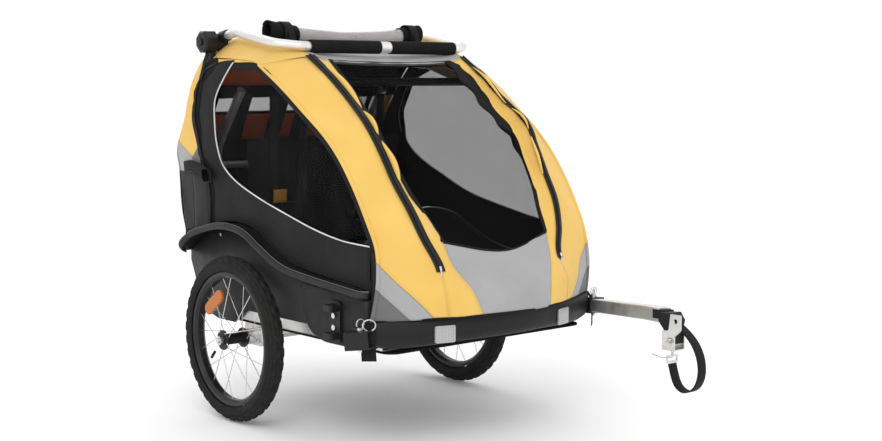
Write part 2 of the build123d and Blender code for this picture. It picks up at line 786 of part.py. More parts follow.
# Steel hitch: a channel round the tongue, with an axle plate rising from its outer cheek.
with BuildPart() as hitch_bracket:
    for x0 in (HITCH_X - 17.5, HITCH_X + 14.5):
        with BuildSketch(side(x0)):
            with Locations((HITCH_Y, 271)):
                RectangleRounded(34, 40, 3)
            with Locations((HITCH_Y, 270)):
                Circle(4.2, mode=Mode.SUBTRACT)
        extrude(amount=3)
    with BuildSketch(side(HITCH_X - 17.5)):
        with Locations((HITCH_Y, 250.5)):
            Rectangle(34, 3)
    extrude(amount=35)
    with BuildSketch(side(HITCH_X - 20.5)):
        with BuildLine():
            Polyline((HITCH_Y - 17, 278), (HITCH_Y - 36, 296), (HITCH_Y - 36, 328), (HITCH_Y - 8, 328),
                     (HITCH_Y - 4, 296), (HITCH_Y + 10, 278), close=True)
        make_face()
        with Locations((HITCH_Y - 22, 314)):
            Circle(5.1, mode=Mode.SUBTRACT)
    extrude(amount=3.2)
save(hitch_bracket, "hitch_bracket")

with BuildPart() as hitch_pin:
    with BuildSketch(side(HITCH_X - 26)):
        with Locations((HITCH_Y, 270)):
            Circle(4.0)
    extrude(amount=52)
    with BuildSketch(side(HITCH_X - 29)):
        with Locations((HITCH_Y, 270)):
            Circle(7)
    extrude(amount=3)
save(hitch_pin, "hitch_pin")

# Spring wire that hangs from the pin's head and snaps under the channel
WIRE_R = 1.4
with BuildPart() as wire_clip:
    wire_x = HITCH_X - 31
    with BuildLine() as wire_line:
        FilletPolyline(at(wire_x, HITCH_Y - 2, 270), at(wire_x, HITCH_Y - 27, 264),
                       at(wire_x, HITCH_Y - 27, 240), at(wire_x, HITCH_Y + 4, 235),
                       at(wire_x, HITCH_Y + 32, 239), radius=9)
    with BuildSketch(Plane(origin=wire_line.line @ 0, z_dir=wire_line.line % 0)):
        Circle(WIRE_R)
    sweep(path=wire_line.line)
save(wire_clip, "wire_clip")

# Safety strap: flat webbing from the hitch's front, down in a loop and back up to its hook.
# Its route is a side view, as lengthwise place and height.
STRAP_X = 138.0
STRAP_ROUTE = [(-962, 303), (-984, 290), (-1008, 267), (-1022, 237), (-1024, 205), (-1012, 177),
               (-988, 163), (-965, 169), (-951, 191), (-943, 222)]
strap_points = [Vector(STRAP_X, AXLE_Y + y, z) for y, z in STRAP_ROUTE]


def route_radii(points):
    """The largest arc that each corner's two runs allow."""
    radii = []
    for before, here, after in zip(points, points[1:], points[2:]):
        turn = radians((here - before).get_angle(after - here))
        radii.append(0.45 * min((here - before).length, (after - here).length) / tan(turn / 2))
    return radii


with BuildPart() as safety_strap:
    with BuildLine() as strap_line:
        FilletPolyline(*strap_points, radius=route_radii(strap_points))
    with BuildSketch(Plane(origin=strap_line.line @ 0, x_dir=(1, 0, 0), z_dir=strap_line.line % 0)):
        Rectangle(STRAP_W, STRAP_T)
    sweep(path=strap_line.line)
save(safety_strap, "safety_strap")
print("strap radii", [round(r) for r in route_radii(strap_points)], "length", round(strap_line.wire().length, 1),
      "volume over section times length",
      round(safety_strap.part.volume / (STRAP_W * STRAP_T * strap_line.wire().length), 4))

# Ring and snap hook that close the strap's loop under the hitch
with BuildPart() as snap_hook:
    with BuildSketch(side(STRAP_X - 15)):
        with Locations((-943, 224.5)):
            Circle(2)
    extrude(amount=30)
    with BuildSketch(facing(-943)):
        with Locations((STRAP_X, 229.5)):
            RectangleRounded(34, 18, 4)
            RectangleRounded(28, 12, 3, mode=Mode.SUBTRACT)
    extrude(amount=2, both=True)
    with BuildSketch(level(237)):
        with Locations((STRAP_X, -943)):
            Circle(3)
    extrude(amount=11.7)
save(snap_hook, "snap_hook")
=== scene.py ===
"""Child bicycle trailer: fabric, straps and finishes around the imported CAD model. All in metres."""
import json
import math

import bmesh
import bpy
import numpy as np
from mathutils import Matrix, Vector, noise
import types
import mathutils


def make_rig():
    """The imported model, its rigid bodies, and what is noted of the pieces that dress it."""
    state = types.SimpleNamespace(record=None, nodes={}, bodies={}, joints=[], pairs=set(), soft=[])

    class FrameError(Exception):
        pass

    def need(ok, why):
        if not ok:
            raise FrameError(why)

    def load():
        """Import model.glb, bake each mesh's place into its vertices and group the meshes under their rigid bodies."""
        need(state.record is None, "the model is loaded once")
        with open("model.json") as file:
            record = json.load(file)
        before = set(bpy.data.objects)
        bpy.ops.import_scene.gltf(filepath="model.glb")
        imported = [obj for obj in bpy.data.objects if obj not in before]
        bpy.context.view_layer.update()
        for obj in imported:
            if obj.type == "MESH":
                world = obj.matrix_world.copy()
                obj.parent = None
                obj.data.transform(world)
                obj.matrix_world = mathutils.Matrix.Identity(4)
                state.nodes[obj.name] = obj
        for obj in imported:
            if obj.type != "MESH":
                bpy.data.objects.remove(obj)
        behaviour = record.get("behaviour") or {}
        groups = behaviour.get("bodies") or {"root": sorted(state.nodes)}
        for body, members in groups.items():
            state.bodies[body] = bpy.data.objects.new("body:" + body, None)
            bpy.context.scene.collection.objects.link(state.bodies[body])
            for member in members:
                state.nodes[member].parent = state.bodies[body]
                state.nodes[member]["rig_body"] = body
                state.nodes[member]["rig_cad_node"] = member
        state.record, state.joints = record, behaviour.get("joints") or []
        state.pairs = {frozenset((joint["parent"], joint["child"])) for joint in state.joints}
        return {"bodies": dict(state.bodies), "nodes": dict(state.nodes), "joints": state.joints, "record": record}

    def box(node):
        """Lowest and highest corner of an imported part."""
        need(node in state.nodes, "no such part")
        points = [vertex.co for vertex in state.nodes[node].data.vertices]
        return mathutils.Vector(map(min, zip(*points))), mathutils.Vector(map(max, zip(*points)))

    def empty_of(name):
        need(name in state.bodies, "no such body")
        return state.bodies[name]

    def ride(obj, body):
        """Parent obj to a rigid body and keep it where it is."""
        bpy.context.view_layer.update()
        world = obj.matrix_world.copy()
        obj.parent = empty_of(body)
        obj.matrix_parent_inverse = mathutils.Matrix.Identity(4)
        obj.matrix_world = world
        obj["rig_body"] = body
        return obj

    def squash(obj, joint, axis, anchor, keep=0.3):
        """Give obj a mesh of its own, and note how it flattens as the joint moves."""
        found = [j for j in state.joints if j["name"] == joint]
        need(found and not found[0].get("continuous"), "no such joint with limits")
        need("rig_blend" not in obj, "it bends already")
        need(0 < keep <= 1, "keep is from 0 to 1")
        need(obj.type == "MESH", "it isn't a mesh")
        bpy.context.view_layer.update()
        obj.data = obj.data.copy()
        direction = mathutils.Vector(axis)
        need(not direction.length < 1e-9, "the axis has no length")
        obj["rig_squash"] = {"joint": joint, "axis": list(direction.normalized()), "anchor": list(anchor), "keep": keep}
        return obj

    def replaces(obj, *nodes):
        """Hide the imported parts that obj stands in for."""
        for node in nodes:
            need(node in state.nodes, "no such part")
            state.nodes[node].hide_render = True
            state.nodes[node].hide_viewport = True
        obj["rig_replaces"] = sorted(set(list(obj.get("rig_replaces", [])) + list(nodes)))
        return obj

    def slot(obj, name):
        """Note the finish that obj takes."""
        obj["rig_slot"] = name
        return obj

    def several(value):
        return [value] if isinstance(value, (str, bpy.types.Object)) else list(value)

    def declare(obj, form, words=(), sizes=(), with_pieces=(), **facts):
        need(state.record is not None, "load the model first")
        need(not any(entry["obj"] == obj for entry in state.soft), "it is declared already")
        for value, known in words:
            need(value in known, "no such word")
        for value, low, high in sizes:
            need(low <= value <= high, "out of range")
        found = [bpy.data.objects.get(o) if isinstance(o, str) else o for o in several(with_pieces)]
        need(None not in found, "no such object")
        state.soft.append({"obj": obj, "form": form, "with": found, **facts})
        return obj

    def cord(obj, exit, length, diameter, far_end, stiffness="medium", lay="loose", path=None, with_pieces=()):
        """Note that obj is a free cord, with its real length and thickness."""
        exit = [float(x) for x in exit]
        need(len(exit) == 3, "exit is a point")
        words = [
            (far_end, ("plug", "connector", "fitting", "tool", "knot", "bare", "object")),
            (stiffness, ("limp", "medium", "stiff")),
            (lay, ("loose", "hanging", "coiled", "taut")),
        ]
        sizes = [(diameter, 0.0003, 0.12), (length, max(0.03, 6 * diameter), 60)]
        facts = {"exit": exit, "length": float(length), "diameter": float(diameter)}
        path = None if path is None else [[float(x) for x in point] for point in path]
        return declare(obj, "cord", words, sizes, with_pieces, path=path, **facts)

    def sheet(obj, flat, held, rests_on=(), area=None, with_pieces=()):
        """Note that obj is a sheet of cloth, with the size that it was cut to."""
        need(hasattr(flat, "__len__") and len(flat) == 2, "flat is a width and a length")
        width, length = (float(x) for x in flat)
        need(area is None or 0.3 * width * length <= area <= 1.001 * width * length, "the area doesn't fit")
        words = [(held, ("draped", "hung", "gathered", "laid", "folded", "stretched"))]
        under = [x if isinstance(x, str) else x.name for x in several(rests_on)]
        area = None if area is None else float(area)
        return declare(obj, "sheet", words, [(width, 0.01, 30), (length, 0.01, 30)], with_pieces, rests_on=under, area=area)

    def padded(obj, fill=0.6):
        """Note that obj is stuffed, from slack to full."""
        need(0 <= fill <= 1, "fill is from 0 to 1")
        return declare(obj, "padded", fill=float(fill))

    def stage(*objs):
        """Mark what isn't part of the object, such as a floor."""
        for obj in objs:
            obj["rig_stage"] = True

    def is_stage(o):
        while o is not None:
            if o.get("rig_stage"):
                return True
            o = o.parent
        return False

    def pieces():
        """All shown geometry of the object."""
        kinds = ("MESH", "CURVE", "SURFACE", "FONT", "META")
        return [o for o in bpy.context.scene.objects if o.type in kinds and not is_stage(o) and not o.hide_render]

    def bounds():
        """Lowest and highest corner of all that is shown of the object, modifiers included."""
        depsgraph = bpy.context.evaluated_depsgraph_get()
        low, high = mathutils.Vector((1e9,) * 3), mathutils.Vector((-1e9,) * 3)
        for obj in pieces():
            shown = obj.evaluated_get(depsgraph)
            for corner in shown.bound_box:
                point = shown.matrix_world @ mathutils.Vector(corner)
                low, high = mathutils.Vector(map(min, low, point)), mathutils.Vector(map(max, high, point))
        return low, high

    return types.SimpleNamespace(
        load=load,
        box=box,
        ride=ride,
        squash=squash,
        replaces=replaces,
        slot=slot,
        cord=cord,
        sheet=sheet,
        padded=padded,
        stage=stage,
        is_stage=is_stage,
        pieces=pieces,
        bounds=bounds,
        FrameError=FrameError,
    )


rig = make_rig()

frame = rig.load()
cad_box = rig.bounds()
nodes = frame["nodes"]
AXLE_Y = 0.3327  # the wheel axle, ahead of the origin along Y
SIDES = (("left", 1), ("right", -1))
FOLD = "cage_fold"
# The height a piece folds down to with the cage, and the share of it that it keeps
COVER_FOLD, SEAT_FOLD = (0.31, 0.45), (0.384, 0.3)


def placed(name, data):
    """A new object in the scene."""
    made = bpy.data.objects.new(name, data)
    bpy.context.collection.objects.link(made)
    return made


# --- camera
HEADING, PITCH = math.radians(-40.747), math.radians(5.7534)
back = Vector((math.sin(HEADING) * math.cos(PITCH), -math.cos(HEADING) * math.cos(PITCH), math.sin(PITCH)))
right = Vector((0, 0, 1)).cross(back).normalized()
up = back.cross(right)
camera = placed("camera", bpy.data.cameras.new("camera"))
camera.data.lens = 57.91
camera.data.sensor_width = 36
camera.matrix_world = Matrix.Translation((-2.1692, -2.8698 + AXLE_Y, 0.8232)) @ Matrix(
    (right, up, back)).transposed().to_4x4()
bpy.context.scene.camera = camera


# --- materials
class Finish:
    """A material whose nodes are added one by one around one Principled shader."""

    def __init__(self, name, rough, metallic=0.0, **sockets):
        self.material = bpy.data.materials.new(name)
        self.material.use_nodes = True
        self.tree = self.material.node_tree
        self.shader = self.tree.nodes["Principled BSDF"]
        for key, value in dict(sockets, Roughness=rough, Metallic=metallic).items():
            self.shader.inputs[key.replace("_", " ")].default_value = value
        self.place = self.node("ShaderNodeTexCoord").outputs["Object"]
        self.height = None

    def node(self, kind, inputs=(), **settings):
        """A new node, each input joined to another node's output or set to a value."""
        made = self.tree.nodes.new(kind)
        for key, value in settings.items():
            setattr(made, key, value)
        for key, value in dict(inputs).items():
            if isinstance(value, bpy.types.NodeSocket):
                self.link(value, made.inputs[key])
            else:
                made.inputs[key].default_value = value
        return made

    def link(self, a, b):
        self.tree.links.new(a, b)

    def maths(self, operation, a, b=0.0):
        return self.node("ShaderNodeMath", {0: a, 1: b}, operation=operation).outputs[0]

    def noise(self, scale, detail=3.0, stretch=None, distortion=0.0):
        place = self.place
        if stretch:
            place = self.node("ShaderNodeMapping", {"Scale": stretch, "Vector": place}).outputs[0]
        return self.node("ShaderNodeTexNoise", {"Scale": scale, "Detail": detail, "Distortion": distortion,
                                                "Vector": place}).outputs["Fac"]

    def wave(self, pitch, direction):
        """Bands one pitch apart, in metres."""
        return self.node("ShaderNodeTexWave", {"Scale": math.pi / 10 / pitch, "Vector": self.place},
                         bands_direction=direction).outputs["Fac"]

    def bumps(self, pitch):
        """Rows of bumps, one pitch apart each way."""
        return self.maths("MULTIPLY", self.wave(pitch, "X"), self.wave(pitch, "Z"))

    def range(self, value, low, high, to_low=0.0, to_high=1.0):
        return self.node("ShaderNodeMapRange", {"Value": value, "From Min": low, "From Max": high,
                                                "To Min": to_low, "To Max": to_high}).outputs[0]

    def mix(self, share, a, b):
        a, b = ((*value, 1) if isinstance(value, tuple) else value for value in (a, b))
        return self.node("ShaderNodeMix", {0: share, 6: a, 7: b}, data_type="RGBA").outputs[2]

    def axes(self):
        return self.node("ShaderNodeSeparateXYZ", {0: self.place}).outputs

    def colour(self, value):
        self.link(value, self.shader.inputs["Base Color"])
        return self

    def rough(self, value):
        self.link(value, self.shader.inputs["Roughness"])
        return self

    def bump(self, value, strength, distance):
        made = self.node("ShaderNodeBump", {"Strength": strength, "Distance": distance, "Height": value})
        if self.height:
            self.link(self.height, made.inputs["Normal"])
        self.height = made.outputs[0]
        self.link(self.height, self.shader.inputs["Normal"])
        return self

    def weave(self, pitch=0.0009, strength=0.25):
        """Threads over and under, running with the object's own axes, and slow creases."""
        self.bump(self.noise(16, 3, distortion=0.6), 0.35, 0.006)
        return self.bump(self.bumps(pitch), strength, 0.0003)


def tinted(finish, a, b, scale=9.0):
    """The finish's colour wanders slowly between a and b."""
    return finish.mix(finish.range(finish.noise(scale, 4), 0.3, 0.7), a, b)


# Each cloth's colour wanders between two.
YELLOW = (0.78, 0.505, 0.128), (0.73, 0.455, 0.105)
LIGHT = (0.375, 0.37, 0.378), (0.33, 0.325, 0.332)
DARK = (0.16, 0.155, 0.16), (0.13, 0.127, 0.13)
BLACK = (0.009, 0.009, 0.010), (0.006, 0.006, 0.007)
TRIM = (0.010, 0.010, 0.011), (0.006, 0.006, 0.007)


def cloth(name, a, b, rough=0.72, sheen=0.12, pitch=0.0009, strength=0.25, gloss=0.3):
    finish = Finish(name, rough, Sheen_Weight=sheen, Sheen_Roughness=0.5, Specular_IOR_Level=gloss)
    finish.colour(tinted(finish, a, b))
    return finish.weave(pitch, strength).material


def edge_band(finish, value, at, width):
    """1 on a narrow band where value passes at, 0 elsewhere."""
    away = finish.maths("ABSOLUTE", finish.maths("SUBTRACT", value, at))
    return finish.range(away, width, width * 0.5)


def patchwork(name, zones):
    """Cloth cut along straight seams: zones(finish) gives each seam's value, and the colours past it."""
    finish = Finish(name, 0.72, Sheen_Weight=0.12, Sheen_Roughness=0.5, Specular_IOR_Level=0.3)
    colour = tinted(finish, *YELLOW)
    stitches = finish.range(finish.wave(0.004, "Z"), 0.35, 0.6)
    for value, pair in zones(finish):
        colour = finish.mix(finish.range(value, -0.0008, 0.0008), colour, tinted(finish, *pair))
        seam = edge_band(finish, value, 0.0, 0.0022)
        colour = finish.mix(finish.maths("MULTIPLY", seam, 0.35), colour, (0.03, 0.028, 0.025))
        thread = finish.maths("MULTIPLY", edge_band(finish, value, -0.006, 0.0008), stitches)
        colour = finish.mix(finish.maths("MULTIPLY", thread, 0.3), colour, (0.25, 0.2, 0.1))
        finish.bump(finish.range(finish.maths("ABSOLUTE", value), 0.0, 0.006), 0.5, 0.002)
    finish.colour(colour)
    return finish.weave().material


def corner_zones(finish):
    """Light grey and dark grey triangles at the front's lower corners."""
    x, y, z = finish.axes()
    out = finish.maths("ABSOLUTE", x)
    # Each seam falls from the corner piping to the bumper: distance past the line, outwards and down.
    for a, b, shift, pair in ((0.74, 0.67, 0.0489, LIGHT), (0.71, 0.70, 0.0290, DARK)):
        past = finish.maths("SUBTRACT", finish.maths("MULTIPLY", out, a), finish.maths("MULTIPLY", z, b))
        yield finish.maths("ADD", past, shift), pair


def roof_zones(finish):
    x, y, z = finish.axes()
    yield finish.maths("SUBTRACT", 0.235, finish.maths("ABSOLUTE", x)), LIGHT


def rear_zones(finish):
    """Yellow above, a grey band, and black low on the back and the rear quarters."""
    x, y, z = finish.axes()
    slope = finish.maths("MULTIPLY", finish.maths("SUBTRACT", y, AXLE_Y + 0.225), 0.57)
    yield finish.maths("SUBTRACT", finish.maths("ADD", 0.625, slope), z), LIGHT
    low = finish.maths("SUBTRACT", finish.maths("SUBTRACT", 0.625, z), finish.maths("MULTIPLY", slope, 1.75))
    low = finish.maths("MINIMUM", low, finish.maths("SUBTRACT", AXLE_Y + 0.225, y))
    yield low, DARK
    yield finish.maths("SUBTRACT", 0.588, z), BLACK


def plastic(name, a, b, rough=0.45, grain=900.0, strength=0.15, edge=0.008):
    """Moulded plastic with a fine grain, and convex edges made paler by a painted highlight."""
    finish = Finish(name, rough, Specular_IOR_Level=0.22)
    # Painted highlight: convex edges, found by pointiness, are mixed towards twice the colour plus edge.
    painted_edge_highlight = finish.range(finish.node("ShaderNodeNewGeometry").outputs["Pointiness"], 0.52, 0.62, 0.0, 0.35)
    finish.colour(finish.mix(painted_edge_highlight, tinted(finish, a, b, 6), tuple(c * 2 + edge for c in a)))
    finish.rough(finish.range(finish.noise(40, 4), 0.3, 0.7, rough - 0.07, rough + 0.08))
    return finish.bump(finish.noise(grain, 2), strength, 0.0004).material


def metal(name, a, b, rough, metallic=1.0):
    """Metal with faint drawn lines and patches of dullness."""
    finish = Finish(name, rough, metallic)
    finish.colour(tinted(finish, a, b, 14))
    lines = finish.noise(240, 3, (1, 1, 30))
    finish.rough(finish.range(finish.noise(22, 5), 0.3, 0.7, rough - 0.06, rough + 0.1))
    return finish.bump(lines, 0.05, 0.0004).material


def tape(name, a, b, teeth=False):
    """Woven tape: ribs across it, and for a zip the row of teeth."""
    finish = Finish(name, 0.5 if teeth else 0.68, Specular_IOR_Level=0.3 if teeth else 0.15)
    finish.colour(tinted(finish, a, b, 30))
    ribs = finish.wave(0.0022 if teeth else 0.0014, "Z")
    return finish.bump(ribs, 0.6, 0.0008 if teeth else 0.0005).material


def net_cloth(name):
    """Open black mesh: holes about a millimetre wide, so it is partly seen through."""
    finish = Finish(name, 0.8, Specular_IOR_Level=0.03)
    finish.colour(tinted(finish, (0.006, 0.006, 0.006), (0.003, 0.003, 0.003), 20))
    finish.link(finish.range(finish.bumps(0.0022), 0.05, 0.45, 0.50, 0.26), finish.shader.inputs["Alpha"])
    return finish.bump(finish.noise(18, 3), 0.2, 0.004).material


def vinyl(name, colour, alpha, rough=0.12, bump=0.5, gloss=0.35):
    finish = Finish(name, rough, Alpha=alpha, Specular_IOR_Level=gloss)
    finish.colour(tinted(finish, colour, tuple(c * 0.85 for c in colour), 12))
    finish.bump(finish.noise(11, 2, distortion=1.2), bump, 0.012)
    return finish.bump(finish.noise(60, 2), 0.12, 0.002).material


def clear_reflector(name, colour):
    """Moulded reflector: prisms in rows behind a glossy face."""
    finish = Finish(name, 0.12, Specular_IOR_Level=0.3, Coat_Weight=0.15)
    prisms = finish.bumps(0.004)
    finish.colour(finish.mix(prisms, tuple(c * 0.55 for c in colour), colour))
    return finish.bump(prisms, 0.7, 0.001).material


def rubber(name, a, b, rough):
    finish = Finish(name, rough, Specular_IOR_Level=0.12)
    finish.colour(tinted(finish, a, b, 25))
    finish.bump(finish.noise(150, 4), 0.25, 0.0008)
    return finish.bump(finish.noise(900, 2), 0.3, 0.0003).material


M = {
    "yellow": patchwork("cloth_yellow", lambda f: ()),
    "front": patchwork("cloth_front", corner_zones),
    "roof": patchwork("cloth_roof", roof_zones),
    "rear": patchwork("cloth_rear", rear_zones),
    "light": cloth("cloth_light_grey", *LIGHT),
    "black": cloth("cloth_black", (0.0165, 0.0155, 0.0160), (0.0115, 0.0105, 0.011), 0.6, 0.02, gloss=0.12),
    "deep": cloth("cloth_deep_black", *BLACK, 0.7, 0.0, gloss=0.08),
    "rust": cloth("cloth_liner", (0.50, 0.095, 0.032), (0.40, 0.07, 0.025), 0.8, 0.0, gloss=0.1),
    "seat": cloth("cloth_seat", (0.014, 0.014, 0.016), (0.009, 0.009, 0.010), 0.85, 0.0, 0.0015, 0.12, 0.04),
    "mesh": net_cloth("mesh_black"),
    "window": vinyl("vinyl_smoke", (0.008, 0.0075, 0.0075), 0.15, gloss=0.10),
    "clear": vinyl("vinyl_clear", (0.13, 0.125, 0.125), 0.36, 0.25, 1.0),
    "rolled": vinyl("vinyl_rolled", (0.60, 0.57, 0.56), 0.42, 0.14, 0.8),
    "tape": tape("zip_tape", *TRIM, True),
    "webbing": tape("webbing_black", (0.014, 0.014, 0.015), (0.009, 0.009, 0.010)),
    "piping": tape("piping_black", *TRIM),
    "bright": tape("piping_reflective", (0.78, 0.78, 0.80), (0.66, 0.66, 0.68)),
    "amber_tag": tape("tag_amber", (0.62, 0.30, 0.05), (0.52, 0.24, 0.04)),
    "moulded": plastic("plastic_moulded", (0.010, 0.010, 0.011), (0.007, 0.007, 0.008), 0.40),
    # The tub's edge value of 0.10 makes a strong painted highlight on its convex edges, such as the lip.
    "tub": plastic("plastic_tub", (0.0125, 0.012, 0.0123), (0.009, 0.0086, 0.0088), 0.5, 700, 0.3, 0.10),
    # Mid-grey plastic for the painted highlight along the lip's rolled edge.
    "lip_highlight": plastic("plastic_lip_highlight", (0.13, 0.128, 0.13), (0.09, 0.088, 0.09), 0.35),
    "aluminium": metal("aluminium_satin", (0.80, 0.79, 0.78), (0.72, 0.71, 0.70), 0.36, 0.85),
    "steel": metal("steel_plated", (0.70, 0.69, 0.67), (0.58, 0.57, 0.56), 0.28),
    "spoke": metal("spoke_steel", (0.76, 0.75, 0.73), (0.62, 0.61, 0.60), 0.25),
    "rim": metal("rim_black", (0.020, 0.020, 0.022), (0.014, 0.014, 0.016), 0.35, 0.4),
    "tyre": rubber("rubber_tyre", (0.022, 0.021, 0.0205), (0.014, 0.0135, 0.013), 0.75),
    "foam": rubber("foam_grip", (0.012, 0.0115, 0.0115), (0.008, 0.0075, 0.0075), 0.9),
    "flex": rubber("rubber_flex", (0.02, 0.02, 0.021), (0.013, 0.013, 0.014), 0.5),
    "amber": clear_reflector("reflector_amber", (0.72, 0.20, 0.012)),
    "reflector": clear_reflector("reflector_clear", (0.62, 0.62, 0.62)),
}


# --- curves and surfaces
def row(point):
    """A point given from the axle, in the row frame."""
    return (point[0], point[1] + AXLE_Y, point[2])


def unit(vectors):
    """Each vector of a row, brought to length 1."""
    return vectors / np.linalg.norm(vectors, axis=1, keepdims=True)


def spline_at(values, t):
    """Where a smooth curve through values[0], values[1] and so on is at t."""
    values = np.asarray(values, float)
    t = np.asarray(t, float)
    ends = np.concatenate([2 * values[:1] - values[1:2], values, 2 * values[-1:] - values[-2:-1]])
    i = np.clip(np.floor(t).astype(int), 0, len(values) - 2)
    f = (t - i).reshape((-1,) + (1,) * (values.ndim - 1))
    a, b, c, d = (ends[i + k] for k in range(4))
    return 0.5 * (2 * b + (c - a) * f + (2 * a - 5 * b + 4 * c - d) * f ** 2 + (3 * b - a - 3 * c + d) * f ** 3)


def smooth(points, count):
    """count points, evenly spaced along a smooth curve through the given ones."""
    dense = spline_at(points, np.linspace(0, len(points) - 1, 24 * len(points)))
    run = np.concatenate([[0], np.cumsum(np.linalg.norm(np.diff(dense, axis=0), axis=1))])
    want = np.linspace(0, run[-1], count)
    return np.stack([np.interp(want, run, dense[:, k]) for k in range(dense.shape[1])], axis=1)


def side_line(s, points, count):
    """A smooth line through points given on the left and from the axle, on side s."""
    return smooth([row((s * x, y, z)) for x, y, z in points], count)


def net(stations, t_rows, t_columns):
    """A smooth surface through rows of points, sampled at those rows and columns."""
    down = spline_at(stations, t_rows)
    return spline_at(down.transpose(1, 0, 2), t_columns).transpose(1, 0, 2)


def mirrored(lines):
    """Each line of points, from its right-hand copy to the middle and on to the left."""
    return np.array([[row((-x, y, z)) for x, y, z in line] + [row(p) for p in line[-2::-1]] for line in lines])


def creased(grid, amount, scale):
    """The grid pushed along its normals by slow noise, its edges included, the same at the same place."""
    normal = np.cross(np.gradient(grid, axis=1), np.gradient(grid, axis=0))
    normal /= np.maximum(np.linalg.norm(normal, axis=2, keepdims=True), 1e-9)
    push = np.array([[noise.fractal(Vector(p) * scale, 1.0, 2.0, 3) for p in line] for line in grid])
    return grid + normal * push[..., None] * amount


def applied(made):
    """The object with its modifiers turned into mesh."""
    bpy.context.view_layer.update()
    shown = made.evaluated_get(bpy.context.evaluated_depsgraph_get())
    mesh = bpy.data.meshes.new_from_object(shown)
    made.modifiers.clear()
    if made.type == "MESH":
        made.data = mesh
        return made
    name = made.name
    bpy.data.objects.remove(made)
    return placed(name, mesh)


def build(name, vertices, faces, material, smooth_faces=True):
    mesh = bpy.data.meshes.new(name)
    mesh.from_pydata([tuple(v) for v in vertices], [], faces)
    mesh.validate()
    for polygon in mesh.polygons:
        polygon.use_smooth = smooth_faces
    mesh.materials.append(M[material])
    return placed(name, mesh)


def cleaned(made, weld=0.0, turn=True):
    """The object with points closer than weld merged, and its faces turned outwards."""
    mesh = bmesh.new()
    mesh.from_mesh(made.data)
    if weld:
        bmesh.ops.remove_doubles(mesh, verts=mesh.verts, dist=weld)
    if turn:
        bmesh.ops.recalc_face_normals(mesh, faces=mesh.faces)
    mesh.to_mesh(made.data)
    mesh.free()
    return made


def thickened(made, thick, offset):
    solid = made.modifiers.new("thickness", "SOLIDIFY")
    solid.thickness = thick
    solid.offset = offset
    return applied(made)


def skin(name, grid, material, thick=0.0012, offset=0.0):
    """A cloth sheet over a grid of points, with a real thickness."""
    rows, columns = grid.shape[:2]
    faces = [(k, k + 1, k + 1 + columns, k + columns)
             for i in range(rows - 1) for k in range(i * columns, (i + 1) * columns - 1)]
    made = build(name, grid.reshape(-1, 3), faces, material)
    return thickened(cleaned(made, 0.0002, False), thick, offset)


def curve(name, kind, points):
    """Data of a curve, and its one spline."""
    data = bpy.data.curves.new(name, "CURVE")
    data.dimensions = "3D"
    line = data.splines.new(kind)
    line.points.add(len(points) - 1)
    for point, place in zip(line.points, points):
        point.co = (*place, 1)
    return data, line


def tube(name, points, radius, material, closed=False):
    """A round cord along points, such as piping."""
    data, line = curve(name, "POLY", points)
    data.bevel_depth = radius
    data.bevel_resolution = 3
    data.use_fill_caps = True
    line.use_cyclic_u = closed
    data.materials.append(M[material])
    made = applied(placed(name, data))
    for polygon in made.data.polygons:
        polygon.use_smooth = True
    return made


def ribbon(name, points, across, width, material, thick=0.0016):
    """A flat tape along points. across is the direction of its width, one for all or one for each."""
    points = np.asarray(points, float)
    across = unit(np.broadcast_to(np.asarray(across, float), points.shape))
    half = np.broadcast_to(np.asarray(width, float) / 2, (len(points),))[:, None]
    grid = np.stack([points + across * half * k for k in (-1, -0.4, 0.4, 1)], axis=1)
    return skin(name, grid, material, thick)


panels = []  # the cover's cloth panels, each declared as a sheet further down


def fit(made, body, slot):
    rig.ride(made, body)
    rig.slot(made, slot)
    return made


def chassis(made, slot, squash=None):
    """A piece that rides on the chassis, and folds with the cage if squash is given."""
    fit(made, "chassis", slot)
    if squash:
        anchor, keep = squash
        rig.squash(made, FOLD, axis=(0, 0, 1), anchor=(0, 0, anchor), keep=keep)
    return made


def caged(made, slot):
    return fit(made, "roll_cage", slot)


def cover(made, slot="cover_cloth"):
    """A piece of the cabin cover: it stays on the chassis and crumples when the cage folds."""
    return chassis(made, slot, COVER_FOLD)


def panel(made, slot="cover_cloth"):
    panels.append(made)
    return cover(made, slot)


# --- front of the cover
# Across each row: corner piping, zip, edge of the mesh, middle. Rows go up from the bumper.
FRONT = [
    [(.330, -.508, .304), (.182, -.590, .306), (.102, -.614, .306), (0, -.626, .306)],
    [(.326, -.518, .352), (.188, -.585, .362), (.120, -.598, .360), (0, -.618, .358)],
    [(.322, -.521, .400), (.184, -.557, .418), (.149, -.564, .414), (0, -.592, .402)],
    [(.318, -.511, .460), (.206, -.535, .475), (.158, -.541, .465), (0, -.572, .437)],
    [(.320, -.480, .520), (.221, -.507, .535), (.171, -.504, .517), (0, -.528, .505)],
    [(.321, -.440, .583), (.230, -.466, .594), (.189, -.467, .570), (0, -.484, .560)],
    [(.322, -.388, .648), (.235, -.429, .655), (.197, -.428, .627), (0, -.440, .618)],
    [(.324, -.333, .698), (.241, -.387, .715), (.204, -.387, .686), (0, -.394, .676)],
    [(.328, -.262, .748), (.233, -.311, .771), (.195, -.321, .743), (0, -.326, .733)],
    [(.333, -.186, .801), (.235, -.237, .826), (.190, -.250, .804), (0, -.255, .799)],
    [(.335, -.096, .853), (.236, -.160, .873), (.186, -.170, .865), (0, -.172, .860)],
]
MESH_BOTTOM = 3  # the row where the mesh starts
TOP = len(FRONT) - 1
front_rows = mirrored(FRONT)
PER_ROW = 8  # cells of the front's grid from one row to the next
